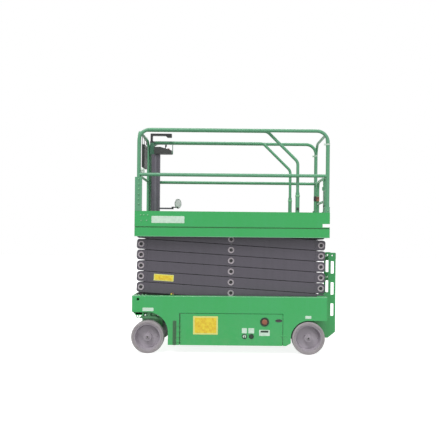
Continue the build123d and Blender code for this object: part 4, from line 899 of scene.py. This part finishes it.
motor = {"out": 0.3605, "bolts": 0.041}
for body, side, joint in (("steer_left", -1, "steering"), ("steer_right", 1, "steering_right")):
    mesh = bmesh.new()
    pivot = jointPlace[joint]
    hub = Vector((pivot.x, side * motor["out"], jointPlace["wheel_front_left_spin"].z))
    inward = farSide if side < 0 else nearSide
    for offset in circle(4, motor["bolts"], along, upward, 0.5):
        bolt(mesh, hub + offset - inward * 0.0008, inward, 0.009, 1)
    lathe(mesh, [(0.020, -0.001), (0.020, 0.005), (0.018, 0.007), (0.007, 0.007), (0, 0.008)], hub, inward, 28, 1)
    for k in (-1, 1):
        port = hub - inward * 0.030 + upward * 0.052 + along * 0.016 * k
        lathe(mesh, [(0.009, 0), (0.009, 0.008), (0.0075, 0.010), (0.0075, 0.016), (0, 0.016)], port, upward, 6, 1)
    finishPiece(f"yokeBolts_{'left' if side < 0 else 'right'}", mesh, body, ("zincSteel", "pinSteel"))
mesh = bmesh.new()
for side in (-1, 1):
    end = Vector((jointPlace["tie_rod_pivot"].x, side * kingpin["out"], jointPlace["tie_rod_pivot"].z))
    toMiddle = farSide if side < 0 else nearSide
    lathe(mesh, [(0.0142, 0.030), (0.019, 0.030), (0.019, 0.042), (0.0142, 0.042)], end, toMiddle, 6)
finishPiece("tieRodNuts", mesh, "tie_rod", ("pinSteel",))
print("running gear detailed")

# batteries on the left tray

packLow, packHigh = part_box("battery_pack")
battery = {"count": 4, "gap": 0.012, "lid": 0.005, "cap": 0.013, "post": 0.009, "bar": 0.004}
cellLength = (packHigh.x - packLow.x - (battery["count"] - 1) * battery["gap"]) / battery["count"]
cellWidth, cellY, cellTop = packHigh.y - packLow.y, (packLow.y + packHigh.y) / 2, packHigh.z
mesh = bmesh.new()
posts = []
for i in range(battery["count"]):
    middle = Vector((packLow.x + cellLength / 2 + i * (cellLength + battery["gap"]), cellY, cellTop))
    plate(mesh, middle, along, farSide, (cellLength - 0.004, cellWidth - 0.004), battery["lid"], 0.010, 0.0015)
    plate(mesh, middle + upward * battery["lid"], along, farSide, (cellLength * 0.86, 0.060), 0.006, 0.006, 0.0015)
    for k in range(3):
        at = middle + Vector(((k - 1) * cellLength * 0.26, 0, battery["lid"] + 0.006))
        cap = battery["cap"]
        capRings = [(cap, 0), (cap, 0.003), (cap * 0.85, 0.0045), (cap * 0.3, 0.0045), (cap * 0.25, 0.006)]
        lathe(mesh, capRings + [(0, 0.006)], at, upward, 20, 1)
    for k in (-1, 1):
        post = middle + Vector((k * cellLength * 0.40, k * cellWidth * 0.36, battery["lid"]))
        posts.append(post + upward * 0.010)
        lathe(mesh, [(battery["post"], 0), (battery["post"] * 0.9, 0.014), (0, 0.014)], post, upward, 20, 2)
for i in range(1, len(posts) - 1, 2):
    a, b = posts[i] + upward * 0.001, posts[i + 1] + upward * 0.001
    run = b - a
    side = upward.cross(run.normalized())
    plate(mesh, (a + b) / 2, run, side, (run.length + 0.022, 0.016), battery["bar"], 0.006, 0.001, 3)
    for end in (a, b):
        bolt(mesh, end + upward * battery["bar"], upward, 0.010, 2, False)
finishPiece("batteryTops", mesh, "tray_left", ("batteryCase", "redPlastic", "pinSteel", "zincSteel"))

# power unit on the right tray

unitLow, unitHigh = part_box("hydraulic_power_unit")
unit = {"tankRear": -0.130, "y": 0.4355, "motorZ": 0.208, "motorR": 0.090, "fins": (-0.02, 0.20, 12)}
first, last, count = unit["fins"]
r = unit["motorR"]
mesh = bmesh.new()
for i in range(count):
    x = first + (last - first) * i / (count - 1)
    ring = [(r - 0.001, -0.0022), (r + 0.0035, -0.0016), (r + 0.0035, 0.0016), (r - 0.001, 0.0022)]
    lathe(mesh, ring, (x, unit["y"], unit["motorZ"]), along, 40)
cap = Vector((unitLow.x + 0.09, unit["y"], unitHigh.z))
tankCap = [(0.030, 0), (0.030, 0.004), (0.024, 0.006), (0.024, 0.016), (0.021, 0.019), (0, 0.019)]
lathe(mesh, tankCap, cap, upward, 32)
for offset in circle(10, 0.024, along, farSide):
    lathe(mesh, [(0.0022, 0), (0.0022, 0.009), (0, 0.010)], cap + offset + upward * 0.007, upward, 8)
valve = Vector((unit["tankRear"] - 0.10, unit["y"], unitHigh.z))
plate(mesh, valve, along, farSide, (0.11, 0.08), 0.030, 0.005, 0.0015, 1)
for k in (-1, 0, 1):
    at = valve + Vector((k * 0.034, 0.018, 0.030))
    solenoid = [(0.012, 0), (0.012, 0.003), (0.0105, 0.003), (0.0105, 0.024), (0.008, 0.027), (0, 0.027)]
    lathe(mesh, solenoid, at, upward, 24, 2)
    lathe(mesh, [(0.008, 0), (0.008, 0.006), (0.0065, 0.012), (0, 0.012)], at - farSide * 0.036, upward, 6, 1)
glass = Vector((unitLow.x + 0.05, unitHigh.y, (unitLow.z + unitHigh.z) / 2))
plate(mesh, glass, -along, upward, (0.018, 0.110), 0.004, 0.006, 0.001, 3)
for k in (-1, 1):
    bolt(mesh, glass + upward * 0.046 * k + farSide * 0.004, farSide, 0.008, 1, False)
for k in (-1, 1):  # motor posts
    at = Vector((unitHigh.x - 0.04, unit["y"] + 0.03 * k, unit["motorZ"] + unit["motorR"] * 0.93))
    lathe(mesh, [(0.011, -0.006), (0.011, 0.006), (0.005, 0.007), (0.005, 0.018), (0, 0.018)], at, upward, 20, 1)
end = Vector((unitHigh.x - 0.0005, unit["y"], unit["motorZ"]))
for offset in circle(4, 0.070, farSide, upward, 0.5):
    bolt(mesh, end + offset, along, 0.009, 1, False)
finishPiece("powerUnitFittings", mesh, "tray_right", ("blackPaint", "pinSteel", "boxPlastic", "lensGlass"))
print("trays detailed")

# lift cylinders: gland nut, weld rings, ports and a rigid pipe

cylinder = {"gland": 1.8468, "barrel": 0.060, "port": (0.11, 1.78)}
liftLine = Vector(next(j["axis"] for j in frame["joints"] if j["name"] == "lift_rod_1_slide")).normalized()
for number in (1, 2):
    mesh = bmesh.new()
    foot = jointPlace[f"lift_barrel_{number}_foot"]
    radius, gland = cylinder["barrel"], cylinder["gland"]
    crown = [(radius - 0.001, gland - 0.050), (radius + 0.006, gland - 0.048), (radius + 0.006, gland - 0.006)]
    crown += [(radius + 0.003, gland - 0.002), (radius - 0.001, gland - 0.002)]
    lathe(mesh, crown, foot, liftLine, 48)
    for out in circle(8, 1.0, *axes(liftLine)[:2]):
        at = foot + liftLine * (gland - 0.027) + out * (radius + 0.0052)
        plate(mesh, at, liftLine, out.cross(liftLine), (0.020, 0.008), 0.0022, 0.003, 0.0006, 1)
    above = (upward - liftLine * upward.dot(liftLine)).normalized()
    pipe = []
    for distance in cylinder["port"]:
        at = foot + liftLine * distance + above * (radius - 0.003)
        plate(mesh, at, liftLine, above.cross(liftLine), (0.034, 0.030), 0.017, 0.003, 0.0015)
        pipe.append(at + above * 0.012)
    pipe[0] += liftLine * 0.014
    pipe[1] -= liftLine * 0.014
    tube(mesh, pipe, 0.005, 12, 1)
    for fraction in (0.3, 0.7):
        at = foot + liftLine * (pipe[0].lerp(pipe[1], fraction) - foot).dot(liftLine)
        strap = [(radius - 0.001, -0.008), (radius + 0.003, -0.0075), (radius + 0.003, 0.0075)]
        lathe(mesh, strap + [(radius - 0.001, 0.008)], at, liftLine, 48, 2)
    slots = ("armPaint", "pinSteel", "zincSteel")
    finishPiece(f"cylinderFittings_{number}", mesh, f"lift_barrel_{number}", slots)
print("cylinders detailed")

# welds of the arm end blocks

weldAt = {"along": 0.9935, "out": 0.4548, "half": 0.048, "radius": 0.0028}
for stage in range(2, stageCount + 1):
    rightPin = jointPlace[f"outer_{stage}_pivot"]
    centrePin = jointPlace[f"inner_{stage}_pivot"]
    line = (rightPin - centrePin).normalized()
    across = line.cross(farSide).normalized()
    mesh = bmesh.new()
    for facing in (nearSide, farSide):
        for end in (-1, 1):
            middle = Vector((centrePin.x, 0, centrePin.z)) + line * weldAt["along"] * end + facing * weldAt["out"]
            weldBead(mesh, middle - across * weldAt["half"], middle + across * weldAt["half"], weldAt["radius"])
    finishPiece(f"armWelds_{stage}", mesh, f"outer_{stage}", ("armPaint",))
print("arms detailed")

# document box and extension fittings

docLow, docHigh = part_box("document_box")
docMidY, width = (docLow.y + docHigh.y) / 2, docHigh.y - docLow.y
docFace = Vector((docHigh.x - 0.0005, docMidY, docHigh.z))
mesh = bmesh.new()
plate(mesh, docFace - upward * 0.09, farSide, upward, (width * 0.94, 0.012), 0.003, 0.003, 0.001)
plate(mesh, docFace - upward * 0.115, farSide, upward, (0.040, 0.036), 0.006, 0.006, 0.0015, 1)
for k in (-1, 1):
    for z in (docLow.z + 0.03, docHigh.z - 0.03):
        at = Vector((docFace.x, docMidY + k * width * 0.40, z))
        lathe(mesh, [(0.006, 0), (0.005, 0.0018), (0, 0.0024)], at, along, 16, 2)
finishPiece("documentBoxFittings", mesh, "extension", ("boxPlastic", "blackPlastic", "pinSteel"))
extension = {"x": 0.712, "knobOut": 0.4999, "knobZ": 1.70, "collarOut": 0.479, "collarZ": 1.85}
knob = [(0.012, 0), (0.014, 0.003), (0.014, 0.012), (0.011, 0.017), (0, 0.018)]
collar = [(0.0265, -0.010), (0.0275, -0.008), (0.0275, 0.008), (0.0265, 0.010)]
mesh = bmesh.new()
for facing in (nearSide, farSide):
    lathe(mesh, knob, Vector((extension["x"], facing.y * extension["knobOut"], extension["knobZ"])), facing, 20)
    at = Vector((extension["x"], facing.y * extension["collarOut"], extension["collarZ"]))
    lathe(mesh, collar, at, upward, 32, 1)
finishPiece("extensionKnobs", mesh, "extension", ("blackPlastic", "greenDustAndHighlight"))
print("small fittings made")

# stage, lights and camera



def direct(tree):  # 1 for rays that show the studio itself, 0 for those that light the machine
    rays = addNode(tree, "LightPath").outputs
    seen = calc(tree, "ADD", rays["Is Camera Ray"], rays["Is Glossy Ray"])
    return calc(tree, "ADD", seen, rays["Is Transmission Ray"], True)


studio = {"floor": 0.45, "glow": 0.86, "reach": 40.0, "sky": 0.37, "soft": 34}
lights = {  # strength, tilt and turn in degrees
    "keyLight": (2.05, 35, -24),
    "fillLight": (0.6, 66, 30),
    "backLight": (0.8, 62, 165),
}
floorMaterial = bpy.data.materials.new("studioFloor")
floorMaterial.use_nodes = True
tree = floorMaterial.node_tree
glow = calc(tree, "MULTIPLY", direct(tree), studio["glow"])
sockets = {"Base Color": [studio["floor"]] * 3 + [1], "Roughness": 0.9, "Emission Color": (1, 1, 1, 1)}
feed(tree, tree.nodes["Principled BSDF"], {**sockets, "Emission Strength": glow})
mesh = bmesh.new()
reach = studio["reach"]
mesh.faces.new([mesh.verts.new((x * reach, y * reach, 0)) for x, y in ((-1, -1), (1, -1), (1, 1), (-1, 1))])
data = bpy.data.meshes.new("studioFloor")
mesh.to_mesh(data)
mesh.free()
floor = bpy.data.objects.new("studioFloor", data)
bpy.context.scene.collection.objects.link(floor)
data.materials.append(floorMaterial)

world = bpy.data.worlds.new("studioWorld")
bpy.context.scene.world = world
world.use_nodes = True
tree = world.node_tree
tree.nodes.clear()
seen = direct(tree)
skies = [addNode(tree, "Background", {"Color": (1, 1, 1, 1), "Strength": k}).outputs[0] for k in (studio["sky"], 1.0)]
mixed = addNode(tree, "MixShader", {0: seen, 1: skies[0], 2: skies[1]})
addNode(tree, "OutputWorld", {"Surface": mixed.outputs[0]})
for name, (strength, tilt, turn) in lights.items():
    sun = bpy.data.lights.new(name, "SUN")
    sun.energy, sun.angle = strength, math.radians(studio["soft"])
    item = bpy.data.objects.new(name, sun)
    bpy.context.scene.collection.objects.link(item)
    item.rotation_euler = (math.radians(tilt), 0, math.radians(turn))

shot = {"lens": 53.06, "place": (-0.077, -8.085, 1.325), "roll": 0.55, "shiftX": -0.0239, "shiftY": 0.0467}
cameraData = bpy.data.cameras.new("shotCamera")
cameraData.sensor_width = 36.0
cameraData.lens = shot["lens"]
cameraData.shift_x, cameraData.shift_y = shot["shiftX"], shot["shiftY"]
camera = bpy.data.objects.new("shotCamera", cameraData)
bpy.context.scene.collection.objects.link(camera)
level, roll = Matrix.Rotation(math.radians(90), 4, "X"), Matrix.Rotation(math.radians(shot["roll"]), 4, "Z")
camera.matrix_world = Matrix.Translation(shot["place"]) @ level @ roll
bpy.context.scene.camera = camera
bpy.context.scene.view_settings.view_transform = "Standard"
print("stage set")
